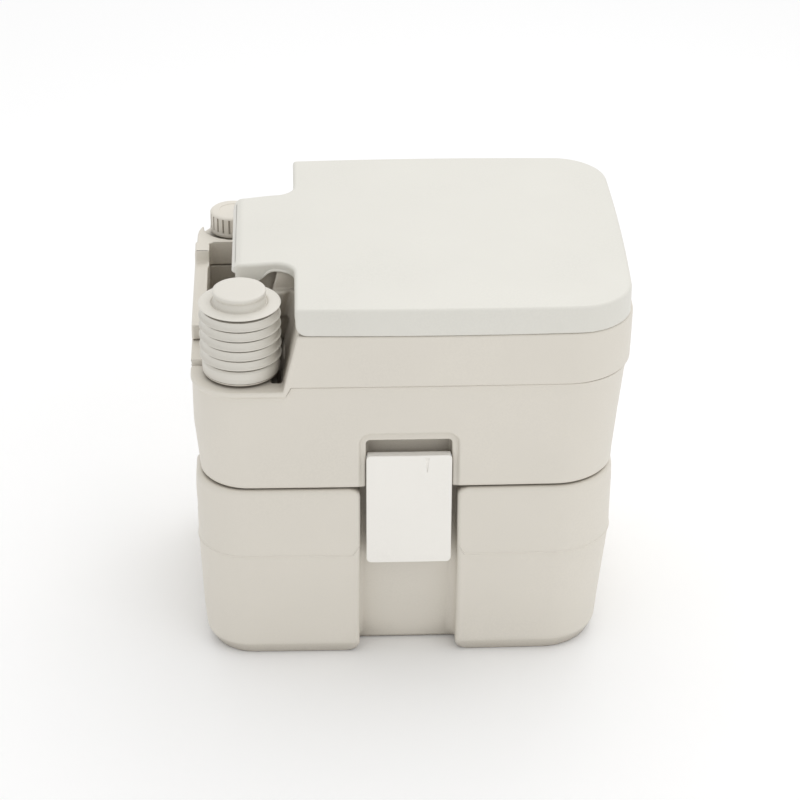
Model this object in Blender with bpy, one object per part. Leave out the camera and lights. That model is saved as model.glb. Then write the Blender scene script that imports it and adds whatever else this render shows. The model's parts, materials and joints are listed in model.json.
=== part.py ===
"""A portable camp toilet: a flush-water unit with bowl, seat and lid, latched on top of a waste tank.

Metres, +Z up. The origin is on the ground under the middle of the toilet. The user sits facing -Y,
and the pump, the filler cap and the lid's hinge are at the rear, +Y.
"""

import math

import bmesh
import bpy
from mathutils import Vector

GAP = 0.0003
WALL = 0.003

# Heights of the main levels.
REAR_DECK_Z = 0.4085
LID_TOP_Z = 0.420

# Lid and its notched plan.
LID_HALF_X = 0.178
LID_FRONT_Y = -0.2225
LID_BOW = 0.0045
NOTCH_Y = 0.1166
TONGUE_NEAR_X = 0.0745
TONGUE_FAR_X = 0.0830
TONGUE_REAR_Y = 0.1795
SHORT_SKIRT = 0.0107
CHEEK = 0.022

# The hinge of lid and seat runs along X.
HINGE_Y = 0.168
HINGE_Z = 0.4085
HINGE_PIN_R = 0.003
KNUCKLE_R = 0.0065
PEDESTAL_HALF_X = 0.0708
CHANNEL_HALF_X = 0.0585
CHANNEL_Z = 0.395

# Bellows pump and its pocket.
PUMP_X = -0.128
PUMP_Y = 0.171
PUMP_DISC_R = 0.041
PUMP_TOP_Z = 0.4198
POCKET_FLOOR_Z = 0.322
BELLOWS_BOTTOM_Z = 0.3325
BELLOWS_TOP_Z = 0.4010
BELLOWS_FOLDS = 6

# Filler cap on its platform.
CAP_X = 0.137
CAP_Y = 0.182
CAP_R = 0.0245
CAP_TOP_Z = 0.380
PLATFORM_Z = 0.360
RECESS_Z = 0.352
NECK_R = 0.020
CAP_RECESS_R = 0.0315
REAR_WALL_Z = 0.350
REAR_WALL_Y = 0.2125

# Bowl and slide valve.
BOWL_Y = -0.060
THROAT_Y = -0.030
THROAT_R = 0.043
VALVE_FLOOR_Z = 0.188
VALVE_HALF_X = 0.066

# Side latches.
LATCH_MID_Y = 0.00375
LATCH_HALF_Y = 0.04325
LATCH_TOP_Z = 0.249
LATCH_BOTTOM_Z = 0.122
LATCH_FACE_X = 0.1685
LATCH_PIVOT_X = 0.158
LATCH_PIVOT_Z = 0.243
LATCH_PIN_HALF = 0.0478
GROOVE_X = 0.144
GROOVE_LEAN = 0.0195
GROOVE_LEAN_Z = 0.120

# Pour-out spout, stowed along X in the rear recess of the waste tank.
SPOUT_X = 0.070
SPOUT_Y = 0.168
SPOUT_Z = 0.178
SPOUT_R = 0.022
SPOUT_BORE_R = 0.0195
SPOUT_MOUTH_X = -0.046
SPOUT_FLOOR_Z = 0.140

# Vent button on the rear wall of the waste tank.
VENT_X = -0.108
VENT_Z = 0.172

CREAM = (0.69, 0.66, 0.60)
PALE = (0.78, 0.77, 0.72)
WHITE = (0.86, 0.84, 0.79)
GREY = (0.35, 0.35, 0.34)
DARK = (0.05, 0.05, 0.05)
STEEL = (0.60, 0.60, 0.62)


def clear_scene():
    for obj in list(bpy.data.objects):
        bpy.data.objects.remove(obj, do_unlink=True)


def material(name, colour, roughness=0.45, metallic=0.0):
    made = bpy.data.materials.new(name)
    made.use_nodes = True
    shader = made.node_tree.nodes["Principled BSDF"]
    shader.inputs["Base Color"].default_value = (*colour, 1.0)
    shader.inputs["Roughness"].default_value = roughness
    shader.inputs["Metallic"].default_value = metallic
    made.diffuse_color = (*colour, 1.0)
    return made


def solid(name, points, faces):
    """A mesh object from points and faces, its normals facing out."""
    mesh = bpy.data.meshes.new(name)
    mesh.from_pydata([tuple(p) for p in points], [], faces)
    work = bmesh.new()
    work.from_mesh(mesh)
    bmesh.ops.recalc_face_normals(work, faces=work.faces)
    work.to_mesh(mesh)
    work.free()
    obj = bpy.data.objects.new(name, mesh)
    bpy.context.scene.collection.objects.link(obj)
    return obj


def finish(obj, colour, roughness=0.45, metallic=0.0, pivot=None):
    """Gives a part its material, smooth shading and, if it moves, an origin on its axis."""
    obj.data.materials.clear()
    obj.data.materials.append(material(obj.name, colour, roughness, metallic))
    obj.data.shade_smooth()
    obj.data.set_sharp_from_angle(angle=math.radians(35))
    if pivot is not None:
        for vertex in obj.data.vertices:
            vertex.co -= Vector(pivot)
        obj.location = pivot
    return obj


def helper(obj):
    obj.hide_render = True
    obj.display_type = "WIRE"
    return obj


def boolean(obj, other, operation):
    modifier = obj.modifiers.new(other.name, "BOOLEAN")
    modifier.operation = operation
    modifier.object = helper(other)
    return obj


def cut(obj, *cutters):
    for cutter in cutters:
        boolean(obj, cutter, "DIFFERENCE")
    return obj


def join(obj, *others):
    for other in others:
        boolean(obj, other, "UNION")
    return obj


def loft(name, rings):
    """A closed solid through rings of equally many points, capped at both ends."""
    count = len(rings[0])
    points = [p for ring in rings for p in ring]
    faces = []
    for level in range(len(rings) - 1):
        low = level * count
        for i in range(count):
            j = (i + 1) % count
            faces.append((low + i, low + j, low + count + j, low + count + i))
    faces.append(tuple(range(count)))
    faces.append(tuple(range(len(points) - count, len(points))))
    return solid(name, points, faces)


def box(name, low, high):
    (x0, y0, z0), (x1, y1, z1) = low, high
    ring = [(x0, y0), (x1, y0), (x1, y1), (x0, y1)]
    return loft(name, [[(x, y, z) for x, y in ring] for z in (z0, z1)])


def mirrored_boxes(name, low, high):
    """The same box on both sides of the X = 0 plane."""
    (x0, y0, z0), (x1, y1, z1) = low, high
    return [
        box(name + "_right", low, high),
        box(name + "_left", (-x1, y0, z0), (-x0, y1, z1)),
    ]


def extrude_x(name, outline, x0, x1):
    """A prism along X from an outline of (y, z) points."""
    return loft(name, [[(x, y, z) for y, z in outline] for x in (x0, x1)])


def extrude_z(name, outline, z0, z1):
    return loft(name, [[(x, y, z) for x, y in outline] for z in (z0, z1)])


def turned(name, profile, place=(0, 0, 0), axis="Z", steps=32):
    """A profile of (radius, height) points turned about an axis; ends at radius 0 close on it."""
    rings = []
    points = []
    for radius, height in profile:
        start = len(points)
        if radius < 1e-9:
            points.append((0.0, 0.0, height))
            rings.append([start])
            continue
        for k in range(steps):
            turn = 2 * math.pi * k / steps
            points.append((radius * math.cos(turn), radius * math.sin(turn), height))
        rings.append(list(range(start, start + steps)))
    pairs = list(zip(rings, rings[1:]))
    if len(rings[0]) > 1:
        pairs.append((rings[-1], rings[0]))
    faces = []
    for low, high in pairs:
        if len(low) == 1 and len(high) == 1:
            continue
        for k in range(steps):
            following = (k + 1) % steps
            if len(low) == 1:
                faces.append((low[0], high[k], high[following]))
            elif len(high) == 1:
                faces.append((low[k], low[following], high[0]))
            else:
                faces.append((low[k], low[following], high[following], high[k]))
    turns = {"Z": lambda p: p, "X": lambda p: (p[2], p[0], p[1]), "Y": lambda p: (p[1], p[2], p[0])}
    placed = [Vector(turns[axis](p)) + Vector(place) for p in points]
    return solid(name, placed, faces)


def rod(name, start, length, radius, axis, steps=16):
    return turned(name, [(0, 0), (radius, 0), (radius, length), (0, length)], start, axis, steps)


def ring_shape(name, inner, outer, z0, z1, place, axis="Z", steps=32):
    profile = [(inner, z0), (outer, z0), (outer, z1), (inner, z1)]
    return turned(name, profile, place, axis, steps)


def pipe(name, path, outer, inner, steps=12):
    """A hollow pipe along a path of points."""
    path = [Vector(p) for p in path]
    normal = None
    outside, inside = [], []
    for i, point in enumerate(path):
        tangent = (path[min(i + 1, len(path) - 1)] - path[max(i - 1, 0)]).normalized()
        if normal is None:
            normal = tangent.orthogonal().normalized()
        normal = (normal - tangent * normal.dot(tangent)).normalized()
        side = tangent.cross(normal)
        for radius, rings in ((outer, outside), (inner, inside)):
            ring = []
            for k in range(steps):
                turn = 2 * math.pi * k / steps
                ring.append(point + (normal * math.cos(turn) + side * math.sin(turn)) * radius)
            rings.append(ring)
    rings = outside + inside[::-1]
    points = [p for ring in rings for p in ring]
    faces = []
    for level in range(len(rings)):
        low, high = level * steps, ((level + 1) % len(rings)) * steps
        for k in range(steps):
            following = (k + 1) % steps
            faces.append((low + k, low + following, high + following, high + k))
    return solid(name, points, faces)


def arc(centre, radius, start, end, steps):
    """Points on an arc, angles in degrees, both ends included."""
    found = []
    for k in range(steps + 1):
        turn = math.radians(start + (end - start) * k / steps)
        found.append((centre[0] + radius * math.cos(turn), centre[1] + radius * math.sin(turn)))
    return found


def rounded(half_x, front_y, rear_y, front_r, rear_r, front_bow=0.0, side_bow=0.0, steps=7):
    """A rounded rectangle in plan, its front and sides bowed out by the given amounts."""
    outline = arc((half_x - rear_r, rear_y - rear_r), rear_r, 0, 90, steps)
    outline += arc((-half_x + rear_r, rear_y - rear_r), rear_r, 90, 180, steps)
    outline += [(-half_x, 0.6 * rear_y + 0.4 * front_y), (-half_x, 0.35 * rear_y + 0.65 * front_y)]
    outline += arc((-half_x + front_r, front_y + front_r), front_r, 180, 270, steps)
    outline += [(-0.4 * half_x, front_y), (0.4 * half_x, front_y)]
    outline += arc((half_x - front_r, front_y + front_r), front_r, 270, 360, steps)
    outline += [(half_x, 0.35 * rear_y + 0.65 * front_y), (half_x, 0.6 * rear_y + 0.4 * front_y)]
    middle, half_y = (front_y + rear_y) / 2, (rear_y - front_y) / 2
    bowed = []
    for x, y in outline:
        along = (y - middle) / half_y
        toward_front = max(0.0, -along)
        new_x = x + math.copysign(side_bow, x) * (1 - along * along) * min(1.0, abs(x) / half_x)
        new_y = y - front_bow * (1 - (x / half_x) ** 2) * toward_front**2
        bowed.append((new_x, new_y))
    return bowed


def ellipse(half_x, half_y, middle_y, steps=40):
    found = []
    for k in range(steps):
        turn = 2 * math.pi * k / steps
        found.append((half_x * math.cos(turn), middle_y + half_y * math.sin(turn)))
    return found


def at(outline, z):
    return [(x, y, z) for x, y in outline]


# Tank walls: height, half width, front and rear, and the corner radius at the front and rear.
WASTE_SECTIONS = (
    (0.0000, 0.1465, -0.1885, 0.2055, 0.050, 0.042),
    (0.0145, 0.1535, -0.1955, 0.2135, 0.0555, 0.0455),
    (0.0450, 0.1555, -0.1985, 0.2165, 0.058, 0.048),
    (0.1310, 0.1660, -0.2060, 0.2195, 0.060, 0.050),
    (0.1900, 0.1645, -0.2065, 0.2205, 0.060, 0.050),
    (0.2030, 0.1625, -0.2050, 0.2190, 0.058, 0.048),
    (0.2078, 0.1575, -0.2000, 0.2140, 0.053, 0.043),
)
FLUSH_SECTIONS = (
    (0.2092, 0.1575, -0.1995, 0.2090, 0.055, 0.045),
    (0.2135, 0.1625, -0.2045, 0.2140, 0.060, 0.050),
    (0.2250, 0.1640, -0.2055, 0.2160, 0.060, 0.050),
    (0.2700, 0.1665, -0.2095, 0.2205, 0.060, 0.050),
    (0.3260, 0.1705, -0.2150, 0.2225, 0.058, 0.048),
    (0.3325, 0.1735, -0.2175, 0.2225, 0.064, 0.046),
    (0.3370, 0.1752, -0.2200, 0.2225, 0.063, 0.045),
    (0.3875, 0.1755, -0.2200, 0.2220, 0.060, 0.045),
    (0.3900, 0.1735, -0.2180, 0.2200, 0.053, 0.043),
)
BOWL_SECTIONS = (
    (0.2000, 0.043, 0.043, -0.030),
    (0.2250, 0.043, 0.043, -0.030),
    (0.2400, 0.050, 0.055, -0.035),
    (0.2800, 0.070, 0.082, -0.045),
    (0.3300, 0.095, 0.110, -0.055),
    (0.3700, 0.110, 0.127, -0.059),
    (0.3920, 0.115, 0.132, -0.060),
)


def tank_solid(name, sections, inset=0.0, steps=7):
    """The tank's outer shape, or its inside when inset by the wall's thickness."""
    rings = []
    for index, (z, half_x, front, rear, front_r, rear_r) in enumerate(sections):
        level = z
        if inset and index == 0:
            level += inset
        if inset and index == len(sections) - 1:
            level -= inset
        outline = rounded(
            half_x - inset, front + inset, rear - inset, front_r - inset, rear_r - inset,
            front_bow=0.003, side_bow=0.0015, steps=steps,
        )
        rings.append(at(outline, level))
    return loft(name, rings)


def bowl_solid(name, grow=0.0):
    rings = []
    for z, half_x, half_y, middle in BOWL_SECTIONS:
        rings.append(at(ellipse(half_x + grow, half_y + grow, middle), z))
    return loft(name, rings)


def slot_low_high(inset, z_low, z_high, depth_x):
    """Corners of a side groove behind the latch on the +X side."""
    low = (depth_x, LATCH_MID_Y - LATCH_HALF_Y - inset, z_low)
    high = (0.20, LATCH_MID_Y + LATCH_HALF_Y + inset, z_high)
    return low, high


def latch_grooves(name, inset, depth_x):
    """The grooves behind the latches, one on each side; their floors lean inwards toward the ground."""
    y0, y1 = LATCH_MID_Y - LATCH_HALF_Y - inset, LATCH_MID_Y + LATCH_HALF_Y + inset
    foot = depth_x - GROOVE_LEAN
    outline = [(0.20, -0.01), (foot, -0.01), (foot, 0), (depth_x, GROOVE_LEAN_Z), (depth_x, 0.22), (0.20, 0.22)]
    return [
        loft(f"{name}{side}", [[(side * x, y, z) for x, z in outline] for y in (y0, y1)])
        for side in (-1, 1)
    ]


def make_waste_tank():
    tank = tank_solid("waste_tank", WASTE_SECTIONS)
    cavity = tank_solid("waste_cavity", WASTE_SECTIONS, WALL, steps=5)
    cut(cavity, *latch_grooves("waste_groove_wall", 0.006 + WALL, GROOVE_X - WALL))
    recess_low, recess_high = (-0.085, 0.122, SPOUT_FLOOR_Z), (0.108, 0.24, 0.22)
    cut(
        cavity,
        box("spout_recess_wall", (-0.088, 0.119, SPOUT_FLOOR_Z - WALL), (0.111, 0.24, 0.22)),
        box("valve_recess_wall", (-0.071, -0.22, VALVE_FLOOR_Z - WALL), (0.071, 0.043, 0.22)),
        box("finger_scoop_wall", (-0.048, -0.22, 0.162), (0.048, -0.176, 0.22)),
        rod("vent_dish_wall", (VENT_X, 0.203, VENT_Z), 0.03, 0.0165, "Y", 20),
    )
    cut(tank, cavity)
    ledges = mirrored_boxes("catch_ledge", (GROOVE_X - 0.001, -0.018, 0.150), (0.1545, 0.0255, 0.157))
    cut(tank, *latch_grooves("waste_groove", 0.006, GROOVE_X))
    join(tank, *ledges)
    cut(
        tank,
        box("spout_recess", recess_low, recess_high),
        box("valve_recess", (-0.068, -0.22, VALVE_FLOOR_Z), (0.068, 0.040, 0.22)),
        box("finger_scoop", (-0.045, -0.22, 0.165), (0.045, -0.179, 0.22)),
        rod("vent_dish", (VENT_X, 0.2085, VENT_Z), 0.03, 0.0135, "Y", 20),
        rod("vent_bore", (VENT_X, 0.190, VENT_Z), 0.03, 0.0062, "Y", 16),
        rod("waste_throat", (0, THROAT_Y, 0.175), 0.03, THROAT_R - 0.001, "Z", 32),
        rod("spout_bore", (SPOUT_X, SPOUT_Y, 0.125), 0.03, SPOUT_R + 0.0008, "Z", 24),
    )
    return finish(tank, CREAM)


def make_flush_tank():
    tank = tank_solid("flush_tank", FLUSH_SECTIONS)
    pedestal = extrude_z(
        "pedestal", rounded(PEDESTAL_HALF_X, 0.0855, 0.1745, 0.002, 0.010, steps=4), 0.345, REAR_DECK_Z
    )
    strip = box("rear_deck", (-0.1680, 0.085, 0.380), (0.1680, 0.1158, REAR_DECK_Z))
    join(tank, pedestal, strip)

    slope = [(0.130, POCKET_FLOOR_Z), (0.30, POCKET_FLOOR_Z), (0.30, 0.43), (0.1159, 0.43), (0.1159, 0.39)]
    inner_slope = [(y - WALL, z - WALL) for y, z in slope]
    platform = box("above_platform", (PEDESTAL_HALF_X, 0.1159, PLATFORM_Z), (0.20, 0.24, 0.43))
    recess = rod("cap_recess", (CAP_X, CAP_Y, RECESS_Z), 0.03, CAP_RECESS_R, "Z", 36)

    cavity = tank_solid("flush_cavity", FLUSH_SECTIONS, WALL, steps=5)
    cut(
        cavity,
        extrude_x("pocket_wall", inner_slope, -0.20, -PEDESTAL_HALF_X + WALL),
        box("behind_wall", (-PEDESTAL_HALF_X, 0.171, POCKET_FLOOR_Z - WALL), (0.063, 0.24, 0.43)),
        box("platform_wall", (PEDESTAL_HALF_X - WALL, 0.1129, PLATFORM_Z - WALL), (0.20, 0.24, 0.43)),
        box("pocket_rim_wall", (-0.20, 0.2095, POCKET_FLOOR_Z - WALL), (0.20, 0.24, 0.43)),
        rod("recess_wall", (CAP_X, CAP_Y, RECESS_Z - WALL), 0.03, CAP_RECESS_R + WALL, "Z", 36),
        bowl_solid("bowl_wall", WALL),
    )
    cut(cavity, *mirrored_boxes("flush_slot_wall", *slot_low_high(0.0075, 0.20, 0.270, 0.146 - WALL)))
    cut(tank, cavity)
    cut(
        tank,
        bowl_solid("bowl_space"),
        *mirrored_boxes("strip_hollow", (0.0615, 0.088, 0.370), (0.1650, 0.1125, REAR_DECK_Z - WALL)),
        box("seat_channel", (-CHANNEL_HALF_X, 0.05, CHANNEL_Z), (CHANNEL_HALF_X, 0.19, 0.43)),
        box("hinge_room", (-0.08, 0.1565, 0.3965), (0.08, 0.19, 0.43)),
        extrude_x("pump_pocket", slope, -0.20, -PEDESTAL_HALF_X),
        box("behind_pedestal", (-PEDESTAL_HALF_X - 0.001, 0.175, POCKET_FLOOR_Z), (0.060, REAR_WALL_Y, 0.43)),
        box("above_rear_wall", (-0.118, 0.20, REAR_WALL_Z), (PEDESTAL_HALF_X + 0.001, 0.24, 0.43)),
        platform,
        recess,
        rod("filler_bore", (CAP_X, CAP_Y, 0.34), 0.05, NECK_R - 0.0030, "Z", 28),
        rod("pump_bore", (PUMP_X, PUMP_Y, 0.31), 0.03, 0.0295, "Z", 28),
        rod("nozzle_bore", (0, 0.055, 0.372), 0.03, 0.0063, "Y", 14),
    )
    cut(tank, *mirrored_boxes("latch_recess", (0.1625, -0.0465, 0.200), (0.20, 0.054, 0.274)))
    cut(tank, *mirrored_boxes("finger_slot", *slot_low_high(0.0, 0.20, 0.264, 0.146)))
    join(tank, turned("filler_neck", neck_profile(), (CAP_X, CAP_Y, 0), steps=28), *hinge_arms())
    cut(tank, rod("pin_bore", (-0.0695, HINGE_Y, HINGE_Z), 0.139, HINGE_PIN_R + 0.0002, "X"))
    for side in (-1, 1):
        start = (side * LATCH_PIVOT_X, LATCH_MID_Y - LATCH_PIN_HALF - GAP, LATCH_PIVOT_Z)
        cut(tank, rod(f"latch_bore{side}", start, 2 * (LATCH_PIN_HALF + GAP), 0.0022, "Y", 12))
    return finish(tank, CREAM)


def neck_profile():
    """The threaded neck under the filler cap, with two thread rings."""
    low = RECESS_Z - WALL
    outside = [(NECK_R - 0.003, low), (NECK_R - 0.0012, low), (NECK_R - 0.0012, 0.363)]
    for z in (0.364, 0.370):
        outside += [(NECK_R - 0.0003, z + 0.0008), (NECK_R - 0.0003, z + 0.0018), (NECK_R - 0.0012, z + 0.003)]
    return outside + [(NECK_R - 0.0012, 0.3755), (NECK_R - 0.0035, 0.3755), (NECK_R - 0.0035, low)]


def hinge_arms():
    """The two arms of the tank that hold the ends of the hinge pin."""
    outline = [(0.150, HINGE_Z - KNUCKLE_R)]
    outline += arc((HINGE_Y, HINGE_Z), KNUCKLE_R, -90, 90, 8)
    outline += [(0.150, HINGE_Z + KNUCKLE_R - 0.0065)]
    return [
        extrude_x("hinge_arm_right", outline, 0.060, 0.0695),
        extrude_x("hinge_arm_left", outline, -0.0695, -0.060),
    ]


def knuckles(name, spans, web_top, front_y):
    """Hinge knuckles over spans of X, each with a web that joins it to its panel."""
    made = []
    for index, (x0, x1) in enumerate(spans):
        barrel = rod(f"{name}_barrel{index}", (x0, HINGE_Y, HINGE_Z), x1 - x0, KNUCKLE_R, "X")
        web = box(f"{name}_web{index}", (x0, front_y, HINGE_Z), (x1, HINGE_Y + 0.003, web_top))
        made += [barrel, web]
    return made


def pin_clearance(name):
    return rod(name, (-0.08, HINGE_Y, HINGE_Z), 0.16, HINGE_PIN_R + 0.0002, "X")


def lid_plan(inset=0.0, steps=6):
    """The lid from above: bowed front and sides, and a tongue between the rear notches, wider on the far side."""
    half, front, notch = LID_HALF_X - inset, LID_FRONT_Y + LID_BOW + inset, NOTCH_Y - inset
    rear = TONGUE_REAR_Y - inset
    sides = []
    for tongue, root in ((TONGUE_FAR_X - inset, 0.018 + inset), (TONGUE_NEAR_X - inset, 0.026 + inset)):
        side = arc((half - 0.050 + inset, front + 0.050 - inset), 0.050 - inset, -90, 0, steps)
        side += [(half, -0.08), (half - 0.001, 0.0), (half - 0.003, notch - 0.002), (half - 0.005, notch)]
        side += arc((tongue + root, notch + root), root, -90, -180, steps)
        side += arc((tongue - 0.010 + inset, rear - 0.010 + inset), 0.010 - inset, 0, 90, 4)
        sides.append(side)
    outline = sides[0] + [(-x, y) for x, y in reversed(sides[1])]
    bowed = []
    for x, y in outline:
        toward_front = max(0.0, y / front) if y < 0 else 0.0
        bowed.append((x, y - LID_BOW * (1 - (x / half) ** 2) * toward_front**3))
    return bowed


def make_lid():
    rings = [at(lid_plan(), 0.3905), at(lid_plan(), LID_TOP_Z - 0.0035)]
    rings.append(at(lid_plan(0.001), LID_TOP_Z - 0.001))
    rings.append(at(lid_plan(0.0035), LID_TOP_Z))
    lid = loft("lid", rings)
    cut(
        lid,
        extrude_z("lid_inside", lid_plan(WALL), 0.38, LID_TOP_Z - WALL),
        box("notch_skirt_right", (TONGUE_FAR_X + 0.0035, NOTCH_Y - 0.0045, 0.38), (0.19, 0.19, LID_TOP_Z - SHORT_SKIRT)),
        box("notch_skirt_left", (-0.19, NOTCH_Y - 0.0045, 0.38), (-0.078, 0.19, LID_TOP_Z - SHORT_SKIRT)),
        box("cheek_foot", (-0.10, 0.10, 0.38), (0.10, 0.19, LID_TOP_Z - CHEEK)),
        box("tongue_end_foot", (-0.0715, 0.165, 0.38), (0.0715, 0.19, HINGE_Z)),
        extrude_x("roll_cut", roll_outline(), -0.09, 0.09),
        box("hinge_end_room", (-0.0704, 0.150, 0.38), (0.0704, 0.1752, LID_TOP_Z - 0.0060)),
    )
    join(lid, *knuckles("lid", ((0.032, 0.056), (-0.056, -0.032)), LID_TOP_Z - 0.001, HINGE_Y - 0.005))
    cut(lid, pin_clearance("lid_pin_room"))
    return finish(lid, PALE, 0.4, pivot=(0, HINGE_Y, HINGE_Z))


def roll_outline():
    """What is cut from the tongue's end to leave it rolled over about the hinge."""
    radius = LID_TOP_Z - HINGE_Z
    curve = arc((HINGE_Y, HINGE_Z), radius, 90, 0, 6)
    return curve + [(0.20, HINGE_Z), (0.20, 0.43), (HINGE_Y, 0.43)]


def make_seat():
    outer = rounded(0.1705, -0.2125, 0.082, 0.050, 0.012, front_bow=0.004, side_bow=0.001, steps=7)
    slim = rounded(0.1675, -0.2095, 0.079, 0.047, 0.009, front_bow=0.004, side_bow=0.001, steps=7)
    seat = loft("seat", [at(outer, 0.3929), at(outer, 0.4085), at(slim, 0.4115)])
    opening = [
        at(ellipse(0.1050, 0.1200, BOWL_Y, 48), 0.38),
        at(ellipse(0.1050, 0.1200, BOWL_Y, 48), 0.407),
        at(ellipse(0.1110, 0.1260, BOWL_Y, 48), 0.413),
    ]
    inside = rounded(0.1665, -0.2085, 0.078, 0.046, 0.008, front_bow=0.004, side_bow=0.001, steps=7)
    hollow = extrude_z("seat_hollow", inside, 0.38, 0.4045)
    cut(hollow, extrude_z("opening_wall", ellipse(0.1090, 0.1240, BOWL_Y, 48), 0.37, 0.42))
    for index, (x, y) in enumerate(BUMPER_PLACES):
        cut(hollow, rod(f"bumper_boss{index}", (x, y, 0.37), 0.04, 0.0085, "Z", 16))
    cut(seat, hollow, loft("seat_opening", opening))
    tongue = box("seat_tongue", (-0.056, 0.0765, 0.3965), (0.056, 0.1585, HINGE_Z))
    neck = box("seat_tongue_neck", (-0.030, 0.157, 0.402), (0.030, HINGE_Y, HINGE_Z))
    barrel = rod("seat_barrel", (-0.030, HINGE_Y, HINGE_Z), 0.060, KNUCKLE_R, "X")
    join(seat, tongue, neck, barrel)
    cut(seat, pin_clearance("seat_pin_room"))
    return finish(seat, PALE, 0.4, pivot=(0, HINGE_Y, HINGE_Z))


BUMPER_PLACES = ((0.138, -0.125), (-0.138, -0.125), (0.138, 0.045), (-0.138, 0.045))
LID_BUMPER_PLACES = ((0.138, -0.060), (-0.138, -0.060))


def make_bumpers():
    for index, (x, y) in enumerate(BUMPER_PLACES, 1):
        profile = [(0, 0.3904), (0.0055, 0.3904), (0.0072, 0.3912), (0.0072, 0.3926), (0, 0.3926)]
        finish(turned(f"seat_bumper_{index}", profile, (x, y, 0), steps=16), GREY, 0.8)
    for index, (x, y) in enumerate(LID_BUMPER_PLACES, 1):
        profile = [(0, 0.4118), (0.0050, 0.4118), (0.0065, 0.4126), (0.0065, 0.4167), (0, 0.4167)]
        finish(turned(f"lid_bumper_{index}", profile, (x, y, 0), steps=16), GREY, 0.8)


def bellows_profile():
    """Thin-edged discs with a cone between each pair, round an open middle."""
    pitch = (BELLOWS_TOP_Z - BELLOWS_BOTTOM_Z) / BELLOWS_FOLDS
    outside = []
    for fold in range(BELLOWS_FOLDS):
        z = BELLOWS_BOTTOM_Z + GAP + fold * pitch
        outside += [(0.0345, z), (PUMP_DISC_R - 0.0018, z + 0.60 * pitch), (PUMP_DISC_R - 0.0018, z + 0.72 * pitch)]
        outside.append((0.0345, z + 0.86 * pitch))
    outside[-1] = (0.0345, BELLOWS_TOP_Z)
    inside = [(0.030, BELLOWS_TOP_Z), (0.030, BELLOWS_BOTTOM_Z + GAP)]
    return outside + inside


def make_pump():
    place = (PUMP_X, PUMP_Y, 0)
    floor = POCKET_FLOOR_Z + GAP
    base = [
        (0.0085, 0.3110), (0.0285, 0.3110), (0.0285, floor), (0.0385, floor), (0.0392, floor + 0.001),
        (0.0392, 0.3310), (0.0380, 0.3322), (0.0250, 0.3322), (0.0250, 0.3140), (0.0130, 0.3140),
        (0.0130, 0.3132), (0.0085, 0.3132),
    ]
    pump_base = turned("pump_base", base, place, steps=36)
    finish(pump_base, CREAM)
    finish(turned("pump_bellows", bellows_profile(), place, steps=32), CREAM, 0.5)
    top = BELLOWS_TOP_Z + GAP
    button = [
        (0, top), (PUMP_DISC_R, top), (PUMP_DISC_R, top + 0.0022), (PUMP_DISC_R - 0.001, top + 0.0030),
        (0.0290, top + 0.0034), (0.0262, top + 0.0062), (0.0262, top + 0.0085), (0.0272, top + 0.0100),
        (0.0272, top + 0.0125), (0.0255, top + 0.0150), (0.0160, PUMP_TOP_Z - 0.0005), (0, PUMP_TOP_Z),
    ]
    finish(turned("pump_button", button, place, steps=36), PALE, 0.4, pivot=(PUMP_X, PUMP_Y, top))
    valve = [(0, 0.3145), (0.0120, 0.3145), (0.0120, 0.3158), (0, 0.3158)]
    finish(turned("pump_valve_flap", valve, place, steps=16), DARK, 0.7)
    tube = ring_shape("dip_tube", 0.0060, 0.0082, 0.2220, 0.3134, place, steps=16)
    finish(tube, WHITE, 0.3)


def make_flush_line():
    """The tube from the pump to the rim of the bowl, and the nozzle that sprays from there."""
    path = [
        (-0.1025, 0.1455, 0.3125), (-0.088, 0.131, 0.3125), (-0.074, 0.117, 0.3150), (-0.058, 0.105, 0.325),
        (-0.040, 0.097, 0.345), (-0.020, 0.095, 0.362), (-0.006, 0.0945, 0.3705), (0.0, 0.0905, 0.372),
        (0.0, 0.0863, 0.372),
    ]
    finish(pipe("flush_tube", path, 0.0045, 0.0030, 10), WHITE, 0.3)
    profile = [
        (0.0025, 0.0535), (0.0065, 0.0535), (0.0085, 0.0560), (0.0085, 0.0632), (0.0059, 0.0642),
        (0.0059, 0.0860), (0.0025, 0.0860),
    ]
    nozzle = turned("flush_nozzle", profile, (0, 0, 0.372), "Y", 16)
    cut(nozzle, box("spray_slot", (-0.02, 0.050, 0.3665), (0.02, 0.0575, 0.3690)))
    finish(nozzle, PALE, 0.4)


def ribbed_cap(name, radius, low, high, bore, floor, place, axis, grooves, depth=0.0012):
    """A screw cap: a cup with grooves down its side."""
    profile = [
        (0, high), (radius - 0.0035, high), (radius - 0.0008, high - 0.0012), (radius, high - 0.0035),
        (radius, low), (bore, low), (bore, floor), (0, floor),
    ]
    steps = grooves * 4
    cap = turned(name, profile, place, axis, steps)
    turns = {"Z": lambda p: (p[0], p[1]), "X": lambda p: (p[1], p[2])}
    along = {"Z": 2, "X": 0}[axis]
    centre = Vector(place)
    top = centre[along] + high
    for vertex in cap.data.vertices:
        offset = vertex.co - centre
        u, v = turns[axis](offset)
        distance = math.hypot(u, v)
        if distance < radius - 0.0002 or abs(vertex.co[along] - top) < 0.0020:
            continue
        step = round(math.atan2(v, u) / (2 * math.pi) * steps) % 4
        if step in (1, 2):
            scale = (distance - depth) / distance
            if axis == "Z":
                vertex.co = centre + Vector((offset[0] * scale, offset[1] * scale, offset[2]))
            else:
                vertex.co = centre + Vector((offset[0], offset[1] * scale, offset[2] * scale))
    return cap


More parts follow.
